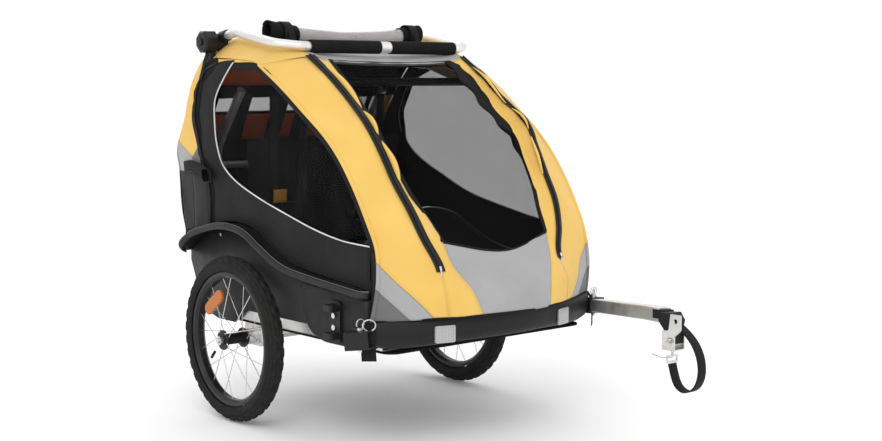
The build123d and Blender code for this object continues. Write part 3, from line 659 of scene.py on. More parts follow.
# Columns of the net at the zips and at the mesh's edges, from the right
ZIP_R, MESH_R, MESH_L, ZIP_L = 14, 20, 50, 56
t_across = np.concatenate([np.linspace(0, 1, 15), np.linspace(1, 2, 7)[1:], np.linspace(2, 4, 31)[1:],
                           np.linspace(4, 5, 7)[1:], np.linspace(5, 6, 15)[1:]])
front = creased(net(front_rows, np.linspace(0, TOP, TOP * PER_ROW + 1), t_across), 0.0035, 7.0)
low = MESH_BOTTOM * PER_ROW
front_pieces = [panel(skin(f"cover_front_{name}", grid, material)) for name, grid, material in (
    ("outer_right", front[:, :ZIP_R + 1], "front"), ("inner_right", front[:, ZIP_R:MESH_R + 1], "yellow"),
    ("base", front[:low + 1, MESH_R:MESH_L + 1], "light"),
    ("inner_left", front[:, MESH_L:ZIP_L + 1], "yellow"), ("outer_left", front[:, ZIP_L:], "front"))]
mesh_panel = panel(skin("front_mesh_panel", front[low:, MESH_R:MESH_L + 1], "mesh", 0.0008), "black_mesh")
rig.replaces(mesh_panel, "front_mesh")


def front_line(t_column, t_from, t_to=TOP, count=90):
    """A line down the front at one column of the net, without the creases."""
    t = np.linspace(t_from, t_to, count)
    line = net(front_rows, t, [t_column - 0.02, t_column, t_column + 0.02])
    return line[:, 1], unit(line[:, 2] - line[:, 0])


def loosened(t_from, width, extra, loose_from, ripple, pace):
    """Widths of a tape up the front, loose and wavy from one row on."""
    t = np.linspace(t_from, TOP, 90)
    return width + extra * np.clip((t - loose_from) / 0.8, 0, 1) * (1 + ripple * np.sin(t * pace))


for tag, s in SIDES:
    column = 3 + 2 * s  # the zip
    points, across = front_line(column, 1.75)
    outward = unit(np.cross(np.gradient(points, axis=0), across))
    if outward[:, 1].mean() > 0:
        outward = -outward
    wide = loosened(1.75, 0.021, (s > 0) * 0.010, 6.2, 0.5, 9.0)
    cover(ribbon(f"zip_tape_{tag}", points + outward * 0.003, across, wide, "tape"), "webbing")
    cover(tube(f"zip_teeth_{tag}", points + outward * 0.0048, 0.0026, "tape"), "webbing")
    # The flap under the zip stands out in loose scallops.
    for k, (start, end, depth) in enumerate(((5.0, 6.5, 0.014), (6.7, 7.6, 0.010), (7.7, 9.5, 0.013))):
        line, over = front_line(column, start, end, 60)
        over = -s * over * np.sign(over[:, :1])
        lump = np.sin(np.linspace(0, math.pi, 60))[:, None]
        out = unit(np.cross(np.gradient(line, axis=0), over))
        out *= np.where(out[:, 1:2] > 0, -1, 1)
        steps = np.linspace(0, 1, 6)[None, :, None]
        spread = over[:, None] * (0.008 + (depth * (0.35 + 0.65 * lump))[:, None] * steps)
        height = out[:, None] * (0.002 + (0.010 * lump)[:, None] * np.sin(steps * math.pi * 0.8))
        flap = line[:, None] + spread + height
        cover(skin(f"zip_flap_{tag}_{k}", flap, "yellow"))
    slider = points[2] + outward[2] * 0.006
    pull = np.array([slider, slider + [0, -0.004, -0.012], slider + [0, -0.003, -0.030]])
    cover(tube(f"zip_pull_{tag}", smooth(pull, 10), 0.0028, "steel"), "hitch_steel")
    # Bound edge of the mesh, down its side.
    edge, over = front_line(3 + s, MESH_BOTTOM)
    wide = loosened(MESH_BOTTOM, 0.011, (s > 0) * 0.030, 6.0, 0.35, 7.0)
    cover(ribbon(f"mesh_binding_{tag}", edge, over, wide, "piping", 0.003), "webbing")
    corner, _ = front_line(3 + 3 * s, 0)
    cover(tube(f"corner_piping_{tag}", corner, 0.0042, "front"))

lower = net(front_rows, [MESH_BOTTOM], np.linspace(2, 4, 60))[0]
cover(tube("mesh_binding_bottom", lower, 0.0032, "piping"), "webbing")
hem = net(front_rows, [0.02], np.linspace(0.02, 5.98, 90))[0]
cover(tube("front_hem", hem, 0.003, "piping"))

# --- roof
ROOF = [
    FRONT[TOP],
    [(.334, -.050, .863), (.246, -.105, .892), (.170, -.110, .883), (0, -.112, .874)],
    [(.331, .012, .867), (.252, -.010, .909), (.160, -.015, .894), (0, -.015, .882)],
    [(.328, .081, .870), (.256, .080, .921), (.160, .080, .896), (0, .080, .884)],
    [(.325, .155, .868), (.256, .160, .914), (.160, .164, .890), (0, .165, .882)],
]
roof_rows = mirrored(ROOF)
roof = creased(net(roof_rows, np.linspace(0, 4, 25), np.linspace(0, 6, 73)), 0.0012, 6.0)
roof[0] = net(front_rows, [TOP], np.linspace(0, 6, 73))[0]
panel(skin("cover_roof", roof, "roof"))
lip = net(roof_rows, [0.0], np.linspace(1.6, 4.4, 70))[0] + [0, -0.004, -0.002]
hang = np.stack([lip, lip + [0, -0.002, -0.004], lip + [0, -0.001, -0.008]], axis=0)
cover(skin("roof_valance", hang, "light", 0.0014))
cover(tube("roof_valance_hem", hang[2] - [0, 0, 0.001], 0.0018, "piping"))

# --- back of the cover
REAR = [
    ROOF[-1],
    [(.324, .209, .805), (.250, .222, .808), (.160, .225, .808), (0, .226, .808)],
    [(.323, .259, .722), (.250, .272, .722), (.160, .275, .722), (0, .276, .722)],
    [(.323, .300, .645), (.250, .310, .640), (.160, .312, .640), (0, .312, .640)],
    [(.323, .290, .585), (.250, .298, .575), (.160, .299, .575), (0, .300, .575)],
    [(.322, .284, .500), (.250, .290, .490), (.160, .291, .490), (0, .292, .490)],
    [(.321, .269, .440), (.250, .276, .430), (.160, .277, .430), (0, .277, .430)],
    [(.321, .266, .396), (.250, .268, .392), (.160, .268, .390), (0, .268, .390)],
]
rear_rows = mirrored(REAR)
DOWN, ACROSS = 8, 12  # cells of the grid from one row or column to the next
rear = creased(net(rear_rows, np.linspace(0, 7, 7 * DOWN + 1), np.linspace(0, 6, 6 * ACROSS + 1)), 0.003, 8.0)
rear[0] = roof[-1]
# A clear strip is let into the back at head height, and black bands of the lining cross it.
WINDOW_TOP, WINDOW_LOW, WINDOW_SIDE = 1.375, 1.875, 0.5


def rear_cut(t0, t1, c0, c1):
    """A part of the back, cut out of the same creased grid so that neighbours meet."""
    return rear[round(t0 * DOWN):round(t1 * DOWN) + 1, round(c0 * ACROSS):round(c1 * ACROSS) + 1]


for name, *cut in (("cover_rear", WINDOW_LOW, 7, 0, 6), ("cover_rear_top", 0, WINDOW_TOP, 0, 6),
                   ("cover_rear_right", WINDOW_TOP, WINDOW_LOW, 0, WINDOW_SIDE),
                   ("cover_rear_left", WINDOW_TOP, WINDOW_LOW, 6 - WINDOW_SIDE, 6)):
    panel(skin(name, rear_cut(*cut), "rear"))
pane = rear_cut(WINDOW_TOP, WINDOW_LOW, WINDOW_SIDE, 6 - WINDOW_SIDE)
panel(skin("rear_window", pane, "clear", 0.0008))
loop = np.concatenate([pane[0], pane[:, -1], pane[-1, ::-1], pane[::-1, 0]])
cover(tube("rear_window_frame", loop + [0, 0.001, 0], 0.0045, "piping"))


def rear_patch(name, t0, t1, c0, c1, material="deep", inset=-0.007):
    """A part of the lining, set off from the back."""
    patch = net(rear_rows, np.linspace(t0, t1, 9), np.linspace(c0, c1, 17))
    panel(skin(name, patch + [0, inset, 0], material, 0.001))


rear_patch("liner_upper", 0.10, 1.05, 0.05, 3.5, "rust")
rear_patch("liner_upper_dark", 0.10, 1.05, 3.5, 5.95)
rear_patch("liner_band_top", 1.05, WINDOW_TOP, 0.05, 5.95)
for k, (c0, c1) in enumerate(((0.95, 1.15), (1.80, 2.18), (2.62, 2.90), (3.10, 3.38), (3.82, 4.20),
                              (4.85, 5.05))):
    rear_patch(f"liner_band_{k}", WINDOW_TOP - 0.05, 2.9, c0, c1, inset=-0.010)
rear_patch("liner_lower", WINDOW_LOW + 0.06, 2.7, 0.05, 5.95, "rust")
rear_patch("liner_band_low", 2.7, 6.6, 0.05, 5.95)
for k, c in enumerate((1.0, 5.0)):
    seam = net(rear_rows, np.linspace(0.05, 6.9, 70), [c])[:, 0] + [0, 0.002, 0]
    cover(tube(f"rear_seam_{k}", seam, 0.0022, "piping"))
cover(tube("rear_hem", net(rear_rows, [6.95], np.linspace(0, 6, 60))[0], 0.003, "piping"))
seam = net(roof_rows, [3.98], np.linspace(0.1, 5.9, 70))[0] + [0, 0.001, 0.0015]
cover(tube("roof_rear_seam", seam, 0.002, "piping"))

# --- sides of the cover
SIDE_X = ([.30, .352, .40, .46, .52, .583, .648, .698, .748, .801, .853, .87],
          [.330, .326, .322, .318, .320, .321, .322, .324, .328, .333, .335, .331])
PIPING = [(.012, .859), (.062, .815), (.101, .771), (.112, .727), (.111, .669), (.087, .615), (.032, .577),
          (-.065, .542), (-.180, .511), (-.290, .484), (-.389, .468), (-.489, .463)]
# On the left the window reaches back almost to the zip.
PIPING_LEFT = [(.092, .848), (.150, .812), (.181, .772), (.191, .727), (.182, .676), (.155, .636), (.098, .599),
               (-.014, .552), (-.106, .520), (-.250, .490), (-.389, .468), (-.489, .463)]
CORNER = [line[0][1:] for line in FRONT[:MESH_BOTTOM - 1:-1]]
REAR_ZIP = [(.012, .8635), (.081, .858), (.131, .842), (.171, .807), (.192, .762), (.202, .723), (.192, .681),
            (.182, .639), (.166, .601), (.150, .570), (.144, .520), (.150, .456)]
LIP = [(.262, .394), (.224, .432), (.164, .455), (.060, .475), (-.035, .468), (-.112, .434), (-.193, .401),
       (-.290, .386), (-.400, .376), (-.500, .366)]
EDGE = [(.155, .866)] + [line[0][1:] for line in REAR[1:-1]]


def side_points(s, pairs, puff=0.0):
    """Points (y, z) put on the side of the cover."""
    pairs = np.asarray(pairs, float)
    x = np.interp(pairs[:, 1], *SIDE_X) - 0.001
    return np.stack([s * (x + puff), pairs[:, 0] + AXLE_Y, pairs[:, 1]], axis=1)


def side_sheet(name, s, first, second, material="black", thick=0.0012, rows=12, belly=0.0, slot="cover_cloth",
               amount=0.003, inset=0.0):
    """A panel stretched between two lines (y, z) on the side, each run through from end to end."""
    share = np.linspace(0, 1, rows)[:, None, None]
    flat = first[None] * (1 - share) + second[None] * share
    grid = np.stack([side_points(s, line, inset + belly * math.sin(math.pi * k / (rows - 1)))
                     for k, line in enumerate(flat)])
    return panel(skin(name, creased(grid, amount, 9.0), material, thick), slot)


side_window = []
for tag, s in SIDES:
    piping = PIPING_LEFT if s > 0 else PIPING
    window_edge, front_edge = smooth(piping, 90), smooth(CORNER, 90)
    side_window.append(side_sheet(f"side_window_{tag}", s, window_edge, front_edge, "window", 0.0008, 26,
                                  -0.004, "window_vinyl", 0.006))
    # Black panel behind and below the window, out to the zip and down to the tub's lip.
    outer = np.concatenate([smooth(REAR_ZIP, 56)[:-1], smooth([(.150, .456), *LIP[3:]], 45)])
    inner = np.concatenate([smooth(piping[:7], 56)[:-1], smooth(piping[6:], 45)])
    side_sheet(f"side_panel_{tag}", s, inner, outer, rows=18, belly=0.002)
    side_sheet(f"side_front_low_{tag}", s, smooth([(-.489, .463), (-.500, .366)], 12),
               smooth([(-.511, .460), (-.5185, .40), (-.514, .352), (-.506, .306)], 12), rows=4, amount=0.001)
    # Yellow, grey and black quarter between the zip and the back.
    zip_line = smooth(REAR_ZIP[1:], 60)
    edge_line = smooth(EDGE, 60)
    side_sheet(f"side_quarter_{tag}", s, zip_line, edge_line, "rear", belly=0.002)
    side_sheet(f"side_liner_{tag}", s, zip_line, edge_line, "deep", belly=0.002, inset=-0.004)
    side_sheet(f"side_rear_low_{tag}", s, smooth([(.150, .456), (.164, .455), (.224, .432), (.262, .394)], 20),
               smooth([(.150, .458), (.200, .452), (.269, .440), (.266, .396)], 20), rows=4, amount=0.0)
    top = smooth([(-.096, .853), (-.050, .862), (.012, .8655), (.081, .867), (.155, .867)], 40)
    under = smooth([(-.096, .852), (-.045, .855), (.012, .859), (.050, .860), (.082, .858)], 40)
    if s > 0:
        side_sheet("side_window_top_left", s, smooth([(.012, .859), (.050, .856), (.092, .848)], 20),
                   smooth([(.012, .860), (.050, .861), (.092, .852)], 20), rows=3, amount=0.0)
    side_sheet(f"side_top_{tag}", s, under, top, "yellow", rows=5, amount=0.0)
    place = side_points(s, smooth(piping, 120), 0.0026)
    cover(tube(f"window_piping_{tag}", place, 0.0017, "bright"))
    frame_line = smooth([(.030, .858), *CORNER], 110)
    inset = side_points(s, frame_line, 0.0012)
    over = unit(np.cross(np.gradient(inset, axis=0), [s, 0, 0]))
    over *= np.sign((over * [0, 0.6, -0.8]).sum(axis=1, keepdims=True))
    cover(ribbon(f"window_border_{tag}", inset + over * 0.0085, over, 0.018, "piping", 0.0022))
    back_zip = side_points(s, zip_line, 0.002)
    over = np.cross(np.gradient(back_zip, axis=0), [s, 0, 0])
    wobble = 0.028 + 0.006 * np.abs(np.sin(np.linspace(0, 17, 60)))
    cover(ribbon(f"rear_zip_{tag}", back_zip, over, wobble, "piping", 0.0022), "webbing")
    cover(tube(f"rear_zip_teeth_{tag}", back_zip + [s * 0.003, 0, 0], 0.0024, "tape"), "webbing")
    hem_line = side_points(s, smooth(LIP, 90), 0.001) + [0, 0, 0.003]
    cover(tube(f"side_hem_{tag}", hem_line, 0.003, "piping"))
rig.replaces(side_window[0], "side_windows")
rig.replaces(front_pieces[2], "cabin_cover")


for piece in panels:
    # A panel is cut to its own area: half of the mesh's faces, as it has two sides.
    area = sum(polygon.area for polygon in piece.data.polygons) / 2
    corners = np.array([v.co for v in piece.data.vertices])
    long_side = float(np.linalg.norm((corners.max(axis=0) - corners.min(axis=0))[1:]))
    width = round(max(area / long_side, 0.01), 3)
    long_side = round(long_side, 3)
    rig.sheet(piece, flat=(width, long_side), held="stretched", rests_on=["roll_tubes", "rear_uprights"],
             area=round(min(area, width * long_side), 6))

# --- seat and harness
BACK_TILT = math.radians(3.6)
BACK_ORIGIN = Vector(row((0, .124, .384)))
BACK_NORMAL = Vector((0, -math.cos(BACK_TILT), -math.sin(BACK_TILT)))
BACK_UP = Vector((0, -math.sin(BACK_TILT), math.cos(BACK_TILT)))
SEATS = (-.122, .122)  # the middle of each seat, along X


def back_at(x, v, lift):
    return BACK_ORIGIN + Vector((x, 0, 0)) + BACK_UP * v + BACK_NORMAL * lift


def pad(name, width, depth, place, face, rise, thick, channels):
    """A crowned pad, width along X and depth along face, sewn into channels, its sides drawn in."""
    u = np.linspace(-1, 1, 53)
    v = np.linspace(-1, 1, 27)
    top, bottom = [], []
    for b in v:
        for a in u:
            pull = 1 - 0.025 * (1 - b * b) * abs(a) ** 6
            draw = 1 - 0.02 * (1 - a * a) * abs(b) ** 6
            x, y = a * width / 2 * pull, b * depth / 2 * draw
            rim = (1 - a ** 8) * (1 - b ** 8)
            sewn = min(abs(x - c) for c in channels)
            crown = rim ** 0.5 * (1 - 0.55 * math.exp(-(sewn / 0.010) ** 2))
            wrinkle = 0.0015 * noise.noise(Vector((x * 30, y * 30, thick)))
            base = Vector(place) + Vector((x, 0, 0)) + Vector(face) * y
            top.append(base + Vector(rise) * (thick * (0.30 + 0.70 * crown) + wrinkle * rim))
            bottom.append(base + Vector(rise) * (thick * 0.12 * (1 - rim)))
    n, m = len(u), len(v)
    faces = []
    for j in range(m - 1):
        for i in range(n - 1):
            q = (j * n + i, j * n + i + 1, (j + 1) * n + i + 1, (j + 1) * n + i)
            faces += [q, tuple(k + n * m for k in reversed(q))]
    loop = list(range(n)) + [j * n + n - 1 for j in range(1, m)] \
        + [(m - 1) * n + i for i in range(n - 2, -1, -1)] + [j * n for j in range(m - 2, 0, -1)]
    faces += [(a, a + n * m, b + n * m, b) for a, b in zip(loop, loop[1:] + loop[:1])]
    return cleaned(build(name, top + bottom, faces, "seat"))


base_pad = pad("seat_cushion", .492, .228, row((0, -.002, .3525)), (0, 1, 0), (0, 0, 1), .017,
               (SEATS[0], 0, SEATS[1]))
chassis(base_pad, "seat_cloth")
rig.replaces(base_pad, "seat_base")
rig.padded(base_pad, 0.4)
back_pad = pad("seat_sling", .482, .286, back_at(0, .147, .0005), BACK_UP, BACK_NORMAL, .0075, (0,))
chassis(back_pad, "seat_cloth", SEAT_FOLD)
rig.replaces(back_pad, "seat_back")
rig.padded(back_pad, 0.3)

straps = []
for k, seat in enumerate(SEATS):
    for j, dx in enumerate((-.048, .048)):
        line = [back_at(seat + dx + math.copysign(0.012 * (1 - t), -dx) * 0.6, .072 + .326 * t,
                        .0096 + 0.0006 * math.sin(9 * t)) for t in np.linspace(0, 1, 40)]
        straps.append(chassis(ribbon(f"harness_strap_{k}_{j}", line, (1, 0, 0), 0.024, "webbing", 0.0014),
                              "webbing", SEAT_FOLD))
    tag_line = [back_at(seat - .030, .127 + 0.034 * t, .0235) for t in np.linspace(0, 1, 6)]
    chassis(ribbon(f"harness_tag_{k}", tag_line, (1, 0, 0), 0.040, "amber_tag", 0.0012), "webbing", SEAT_FOLD)
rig.replaces(straps[0], "harness_straps")


def ring_faces(rings, n):
    """The faces between closed rings of n points each."""
    return [(i * n + j, i * n + (j + 1) % n, (i + 1) * n + (j + 1) % n, (i + 1) * n + j)
            for i in range(rings - 1) for j in range(n)]


def rounded_plate(name, width, height, depth, place, face, rise, material, radius=0.008, dish=0.0):
    """A moulded plate with round corners and a raised rim."""
    outline = []
    for cx, cy, start in ((1, 1, 0), (-1, 1, 90), (-1, -1, 180), (1, -1, 270)):
        for k in range(7):
            a = math.radians(start + 15 * k)
            outline.append((cx * (width / 2 - radius) + radius * math.cos(a),
                            cy * (height / 2 - radius) + radius * math.sin(a)))
    levels = ((1.0, 0.0), (1.0, depth * 0.75), (0.965, depth * 0.93), (0.90, depth), (0.82, depth - dish),
              (0.5, depth - dish), (0.0, depth - dish))
    points = [Vector(place) + Vector((x * k, 0, 0)) + Vector(face) * y * k + Vector(rise) * lift
              for k, lift in levels for x, y in outline]
    n = len(outline)
    faces = ring_faces(len(levels), n) + [tuple(range(n))[::-1]]
    return cleaned(build(name, points, faces, material), 0.00001)


buckles = [chassis(rounded_plate(f"harness_buckle_{k}", .050, .060, .0135, back_at(seat, .096, .0085), BACK_UP,
                                 BACK_NORMAL, "moulded", 0.010, 0.002), "moulded_black", SEAT_FOLD)
           for k, seat in enumerate(SEATS)]
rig.replaces(buckles[0], "harness_buckles")

# --- rolled rain cover
ROLL_Y, ROLL_Z, ROLL_R, ROLL_SAG = -.008 + AXLE_Y, .936, .0255, .018


def roll_centre(x):
    """The roll rests on the two ridges of the roof and sags between them."""
    share = min(abs(x + .013) / .245, 1.0)
    return ROLL_Z - ROLL_SAG * (1 - share ** 2), share


def roll_grid(x0, x1, radius, waist, steps, seed):
    """Three loose turns of sheet: the radius shrinks from turn to turn and swells along the roll."""
    angles = np.linspace(0, math.tau * 3, 120)
    grid = []
    for x in np.linspace(x0, x1, steps):
        middle, share = roll_centre(x)
        wander = 1 - waist * (1 - share ** 2) + 0.05 * noise.noise(Vector((x * 14, seed, 0)))
        ring = []
        for a in angles:
            ripple = 1 + 0.03 * noise.noise(Vector((x * 20, a, seed)))
            r = radius * wander * (1 - 0.13 * a / math.tau) * ripple
            ring.append((x, ROLL_Y + r * math.cos(a + 0.6), middle + r * math.sin(a + 0.6)))
        grid.append(ring)
    return np.array(grid)


roll = caged(skin("rain_cover_roll_vinyl", roll_grid(-.178, .160, ROLL_R * 0.93, 0.22, 60, 3.0), "rolled",
                  0.0008), "rolled_vinyl")
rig.replaces(roll, "rain_cover_roll")
roll_area = sum(polygon.area for polygon in roll.data.polygons) / 2
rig.sheet(roll, flat=(.338, round(roll_area / .338, 3)), held="folded", rests_on=["cover_roof"])
for tag, x0, x1 in (("right", -.252, -.172), ("left", .152, .214)):
    caged(skin(f"rain_cover_end_{tag}", roll_grid(x0, x1, ROLL_R, 0.12, 16, 5.0), "deep"), "rolled_vinyl")
bands = []
for tag, x in (("right", -.2065), ("left", .1830)):
    middle, _ = roll_centre(x)
    ring = [(x, ROLL_Y + (ROLL_R + .0022) * math.cos(a), middle + (ROLL_R + .0022) * math.sin(a))
            for a in np.linspace(0, math.tau, 49)]
    bands.append(caged(ribbon(f"roll_band_{tag}", ring, (1, 0, 0), 0.024, "webbing", 0.0018), "webbing"))
    tail = smooth([(x, ROLL_Y - .020, middle + .018), (x + .004, ROLL_Y - .030, middle),
                   (x + .006, ROLL_Y - .034, middle - .026)], 14)
    caged(ribbon(f"roll_band_tail_{tag}", tail, (1, 0, 0), 0.018, "webbing"), "webbing")
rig.replaces(bands[0], "roll_bands")

# --- tyres with cut tread
for tag, s in SIDES:
    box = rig.box(f"tyre_{tag}")
    centre = Vector([(a + b) / 2 for a, b in zip(*box)])
    half_width = (box[1][0] - box[0][0]) / 2
    outer = (box[1][2] - box[0][2]) / 2
    depth = 0.046
    around, section = 216, 28
    points = []
    for i in range(around):
        a = math.tau * i / around
        for j in range(section):
            b = math.radians(-128 + 256 * j / (section - 1))
            w, h = half_width * math.sin(b), depth / 2 * math.cos(b)
            r = outer - depth / 2 + h
            block = (i + (3 if (j // 3) % 2 else 0)) % 6 < 4
            if abs(b) < math.radians(74) and not (block and j % 3):  # a groove of the tread
                r -= 0.0024 * math.cos(b)
                w -= 0.0024 * math.sin(b)
            points.append((centre.x + w, centre.y + r * math.cos(a), centre.z + r * math.sin(a)))
    faces = [(i * section + j, ((i + 1) % around) * section + j, ((i + 1) % around) * section + j + 1,
              i * section + j + 1) for i in range(around) for j in range(section - 1)]
    tyre = thickened(build(f"tyre_tread_{tag}", points, faces, "tyre", False), 0.0035, -1)
    fit(tyre, f"wheel_{tag}", "tyre_rubber")
    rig.replaces(tyre, f"tyre_{tag}")
    stem = side_line(s, [(.355, .098, .140), (.357, .088, .148), (.358, .078, .157)], 6)
    fit(tube(f"valve_{tag}", stem, 0.0035, "flex"), f"wheel_{tag}", "tyre_rubber")

# --- tub
LIP_RIM = [(.274, .390), (.224, .428), (.164, .451), (.060, .471), (-.035, .464), (-.112, .430), (-.193, .397),
           (-.290, .382), (-.500, .365)]
# The lip's section, as distance out from the middle of the trailer and height above the rim line
LIP_ROOT = .3037
LIP_SECTION = [(LIP_ROOT, 0), (.330, .0006), (.341, .0008), (.3455, .0026), (.351, .0028), (.3555, .0006),
               (.3578, -.0035), (.3578, -.0075), (.3552, -.0112), (.3505, -.0128), (.3465, -.0118),
               (.3445, -.0085), (.3425, -.0062), (.336, -.0055), (LIP_ROOT, -.0052)]
POD = [(-.500, .239), (-.342, .237), (-.294, .252), (-.270, .277), (-.258, .303), (-.262, .366), (-.500, .352)]
WALL = [(-.500, .262), (.020, .262), (.072, .226), (.146, .226), (.190, .236), (.222, .258), (.252, .315),
        (.274, .362), (.274, .385)]
WALL_X, POD_X = .300, .338


def rounded(points, radius):
    """A closed outline with its corners rounded off."""
    out = []
    for k, here in enumerate(points):
        here = np.array(here)
        before, after = np.array(points[k - 1]) - here, np.array(points[(k + 1) % len(points)]) - here
        cut = min(radius, 0.45 * np.linalg.norm(before), 0.45 * np.linalg.norm(after))
        a = here + before / np.linalg.norm(before) * cut
        b = here + after / np.linalg.norm(after) * cut
        out += [tuple((1 - t) ** 2 * a + 2 * t * (1 - t) * here + t * t * b) for t in np.linspace(0, 1, 6)]
    return out


def swell(run, radius):
    """How far out a rounded end is, 0 to 1, at run from its tip."""
    return math.sqrt(1 - max(0.0, 1 - run / radius) ** 2)


def stacked(name, loops, material, cap_first=False):
    """A closed moulded skin through loops of points, the last one filled in."""
    n = len(loops[0])
    points = [p for line in loops for p in line]
    faces = ring_faces(len(loops), n) + [tuple(range(len(points) - n, len(points)))]
    if cap_first:
        faces.append(tuple(range(n))[::-1])
    return cleaned(build(name, points, faces, material))


for tag, s in SIDES:
    rim = smooth(LIP_RIM, 110)
    along = unit(np.gradient(rim, axis=0))
    normal = np.stack([along[:, 1], -along[:, 0]], axis=1)
    run = np.concatenate([[0], np.cumsum(np.linalg.norm(np.diff(rim, axis=0), axis=1))])
    grid = []
    for (y, z), (ny, nz), r in zip(rim, normal, run):
        reach = min(swell(r + .004, .050), swell(run[-1] + .004 - r, .020))
        grid.append([(s * (LIP_ROOT + (x - LIP_ROOT) * reach), y + ny * n + AXLE_Y, z + nz * n)
                     for x, n in LIP_SECTION])
    chassis(stacked(f"fairing_lip_{tag}", grid, "tub", True), "tub_plastic")
    # A thin mid-grey tube along the lip's crest is a painted highlight of its rolled edge.
    crest = [0.6 * np.array(g[4]) + 0.4 * np.array(g[3]) + [0, 0, 0.0002] for g in grid]
    chassis(tube(f"fairing_lip_highlight_{tag}", crest, 0.0013, "lip_highlight"), "tub_plastic")
    outline = [*rim[:0:-1], *WALL[::-1]]
    wall_loops = [[(s * x, y + AXLE_Y, z - 0.001) for y, z in outline] for x in (WALL_X, WALL_X + .0035)]
    wall = chassis(stacked(f"fairing_wall_{tag}", wall_loops, "tub", True), "tub_plastic")
    pod = rounded(POD, .018)
    centre = np.mean(pod, axis=0)
    away = pod - centre
    reach = np.linalg.norm(away, axis=1, keepdims=True)
    pod_loops = [[(s * x, y + AXLE_Y, z) for y, z in centre + away * (1 - inset / reach)] for x, inset in (
        (WALL_X + .002, 0), (POD_X - .008, 0), (POD_X - .003, .0015), (POD_X - .0008, .0045), (POD_X, .010))]
    chassis(stacked(f"fairing_pod_{tag}", pod_loops, "tub"), "tub_plastic")
    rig.replaces(wall, f"side_fairing_{tag}")
    # Small rivets hold the wall.
    for k, (y, z) in enumerate(((.128, .437), (-.130, .400), (-.390, .352))):
        chassis(tube(f"fairing_rivet_{tag}_{k}", [row((s * .303, y, z)), row((s * .3062, y, z))], .004, "steel"),
                "bolt_steel")

# Bumper: a bowed moulding whose lower edge turns in
BOW = 0.6929
plan = [(.337, -.4985), (.3368, -.506), (.333, -.514), (.325, -.521), (.310, -.528), (.293, -.535)]
plan += [(x, .0929 - math.sqrt(BOW ** 2 - x * x)) for x in np.linspace(.27, -.27, 41)]
plan += [(-x, y) for x, y in plan[5::-1]]
plan = smooth(plan, 140)
along = unit(np.gradient(plan, axis=0))
inward = np.stack([along[:, 1], -along[:, 0]], axis=1)
inward *= np.where((inward * plan).sum(axis=1, keepdims=True) > 0, -1, 1)
levels = []
for z, inset in ((.3030, .010), (.3030, .004), (.3018, .0012), (.2990, 0), (.268, 0), (.254, .0015),
                 (.246, .005), (.2405, .011), (.2375, .019)):
    share = 1 - abs(plan[:, 0]) / .337
    rise = (0.011 * np.clip(share * 1.5, 0, 1)) * np.clip((.268 - z) / .03, 0, 1)
    rise = rise + (.285 - z) * 0.75 * np.clip((plan[:, 1] + .545) / .046, 0, 1) ** 2 * (z < .285)
    place = plan + inward * inset
    levels.append(np.stack([place[:, 0], place[:, 1] + AXLE_Y, z + rise], axis=1))
bumper = chassis(skin("bumper_skin", np.array(levels), "tub", 0.003, -1.0), "tub_plastic")
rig.replaces(bumper, "front_bumper")

# Webbing tabs with a ring, hanging from the tub's front corners
tabs = []
for tag, s in SIDES:
    hang = side_line(s, [(.337, -.508, .304), (.344, -.515, .285), (.345, -.516, .255), (.344, -.517, .222)], 20)
    tabs.append(chassis(ribbon(f"strap_tab_{tag}", hang, (.76 * s, .65, 0), 0.032, "webbing", 0.0022), "webbing"))
    ring = [row((s * (.346 + .011 * math.cos(a)), -.520 + .008 * math.cos(a), .300 + .012 * math.sin(a)))
            for a in np.linspace(0, math.tau, 33)[:-1]]
    chassis(tube(f"strap_tab_ring_{tag}", ring, .0018, "steel", True), "hitch_steel")
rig.replaces(tabs[0], "strap_tabs")

# --- safety strap
STRAP_X, STRAP_W = .138, .025
ROUTE = [(-.962, .303), (-.984, .290), (-1.008, .267), (-1.022, .237), (-1.024, .205), (-1.012, .177),
         (-.988, .163), (-.965, .169), (-.951, .191), (-.943, .222)]
route, spline = curve("strap_line", "NURBS", [row((STRAP_X, y, z)) for y, z in ROUTE])
spline.order_u = 3
spline.use_endpoint_u = True
spline.resolution_u = 10
guide = applied(placed("strap_line", route))
path = [tuple(v.co) for v in guide.data.vertices]
bpy.data.objects.remove(guide)
strap = fit(ribbon("safety_strap_webbing", path, (1, 0, 0), STRAP_W, "webbing", 0.0024), "hitch", "webbing")
strap_length = sum((Vector(a) - Vector(b)).length for a, b in zip(path, path[1:]))
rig.replaces(strap, "safety_strap")
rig.cord(strap, exit=path[0], length=round(strap_length, 4), diameter=STRAP_W, far_end="connector",
        stiffness="medium", lay="hanging", path=path, with_pieces=["snap_hook"])

# A strap end hangs from each hub over the rear quarter, and a buckled tab closes the quarter low down.
for tag, s in SIDES:
    fall = side_line(s, [(.340, .118, .882), (.343, .128, .862), (.340, .142, .842), (.338, .158, .818)], 16)
    cover(ribbon(f"hub_strap_{tag}", fall, (0, .75, .66), .012, "webbing", .0018), "webbing")
    fall = side_line(s, [(.326, .262, .600), (.333, .215, .604), (.336, .165, .596), (.335, .120, .580)], 16)
    cover(ribbon(f"rear_tab_{tag}", fall, (0, .15, .99), np.linspace(.026, .034, 16), "webbing", .002), "webbing")
    cover(rounded_plate(f"rear_tab_buckle_{tag}", .022, .030, .006, row((s * .3365, .134, .585)), (0, .25, .97),
                        (s, 0, 0), "moulded", .004), "moulded_black")

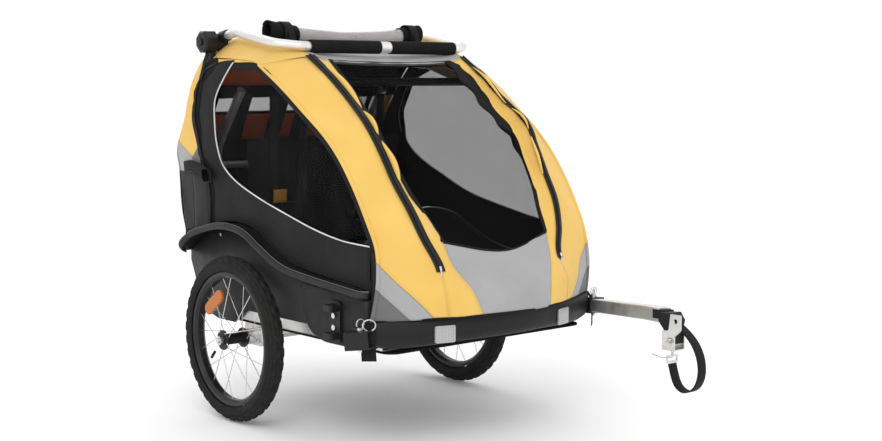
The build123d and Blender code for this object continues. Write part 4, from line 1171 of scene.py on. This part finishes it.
# --- finishes of the CAD pieces
# A name without a side stands for the left and the right node.
FINISHES = {
    "rim": "rim", "wheel_hub": "moulded", "spokes": "spoke", "spoke_reflector": "amber",
    "side_rails cross_tubes axle_tube rear_uprights upright_cross_tube roll_tubes": "aluminium",
    "handlebar_tube tow_arm grip_clamp axle_receivers": "aluminium",
    "floor_panel": "deep", "cargo_panel": "tub", "bumper_reflectors": "reflector",
    "foam_grips": "foam", "flex_connector": "flex",
    "arm_receivers tow_sockets cage_brackets hub_housing rear_brackets": "moulded",
    "cage_cross_tubes handlebar_knuckles hub_button": "moulded",
    "quick_axle axle_button receiver_bolts socket_pin hitch_bracket hitch_pin wire_clip snap_hook": "steel",
}
for names, finish in FINISHES.items():
    for name in names.split():
        for thing in [nodes[name]] if name in nodes else [nodes[f"{name}_{tag}"] for tag, s in SIDES]:
            thing.data.materials.clear()
            thing.data.materials.append(M[finish])

# --- floor and light
floor_finish = Finish("studio_floor", 0.9, Specular_IOR_Level=0.0, Emission_Strength=0.06)
floor_finish.shader.inputs["Emission Color"].default_value = (1, 1, 1, 1)
floor_finish.colour(floor_finish.mix(floor_finish.noise(0.6), (0.93, 0.93, 0.93), (0.955, 0.955, 0.955)))
bpy.ops.mesh.primitive_plane_add(size=600, location=(0, 0, -0.0005))
floor = bpy.context.object
floor.name = "studio_floor"
floor.data.materials.append(floor_finish.material)
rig.stage(floor)

world = bpy.data.worlds.new("studio")
world.use_nodes = True
sky = world.node_tree.nodes["Background"]
sky.inputs["Color"].default_value = (1.0, 1.0, 1.0, 1)
sky.inputs["Strength"].default_value = 1.0
bpy.context.scene.world = world
for name, place, size, power in (("key", (-2.6, -2.2, 3.2), 2.0, 44), ("fill", (2.8, -2.6, 2.4), 2.8, 12),
                                 ("back", (0.5, 3.0, 3.0), 2.6, 22)):
    light = bpy.data.lights.new(name, "AREA")
    light.size = size
    light.energy = power
    lamp = placed(name, light)
    lamp.location = place
    lamp.rotation_mode = "QUATERNION"
    lamp.rotation_quaternion = (Vector(place) - Vector((0, 0, 0.4))).to_track_quat("Z", "Y")
bpy.context.scene.view_settings.view_transform = "Standard"

bpy.context.view_layer.update()
visual_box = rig.bounds()
with open("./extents.json", "w") as out:
    json.dump({"cad": [list(v) for v in cad_box], "visual": [list(v) for v in visual_box]}, out)
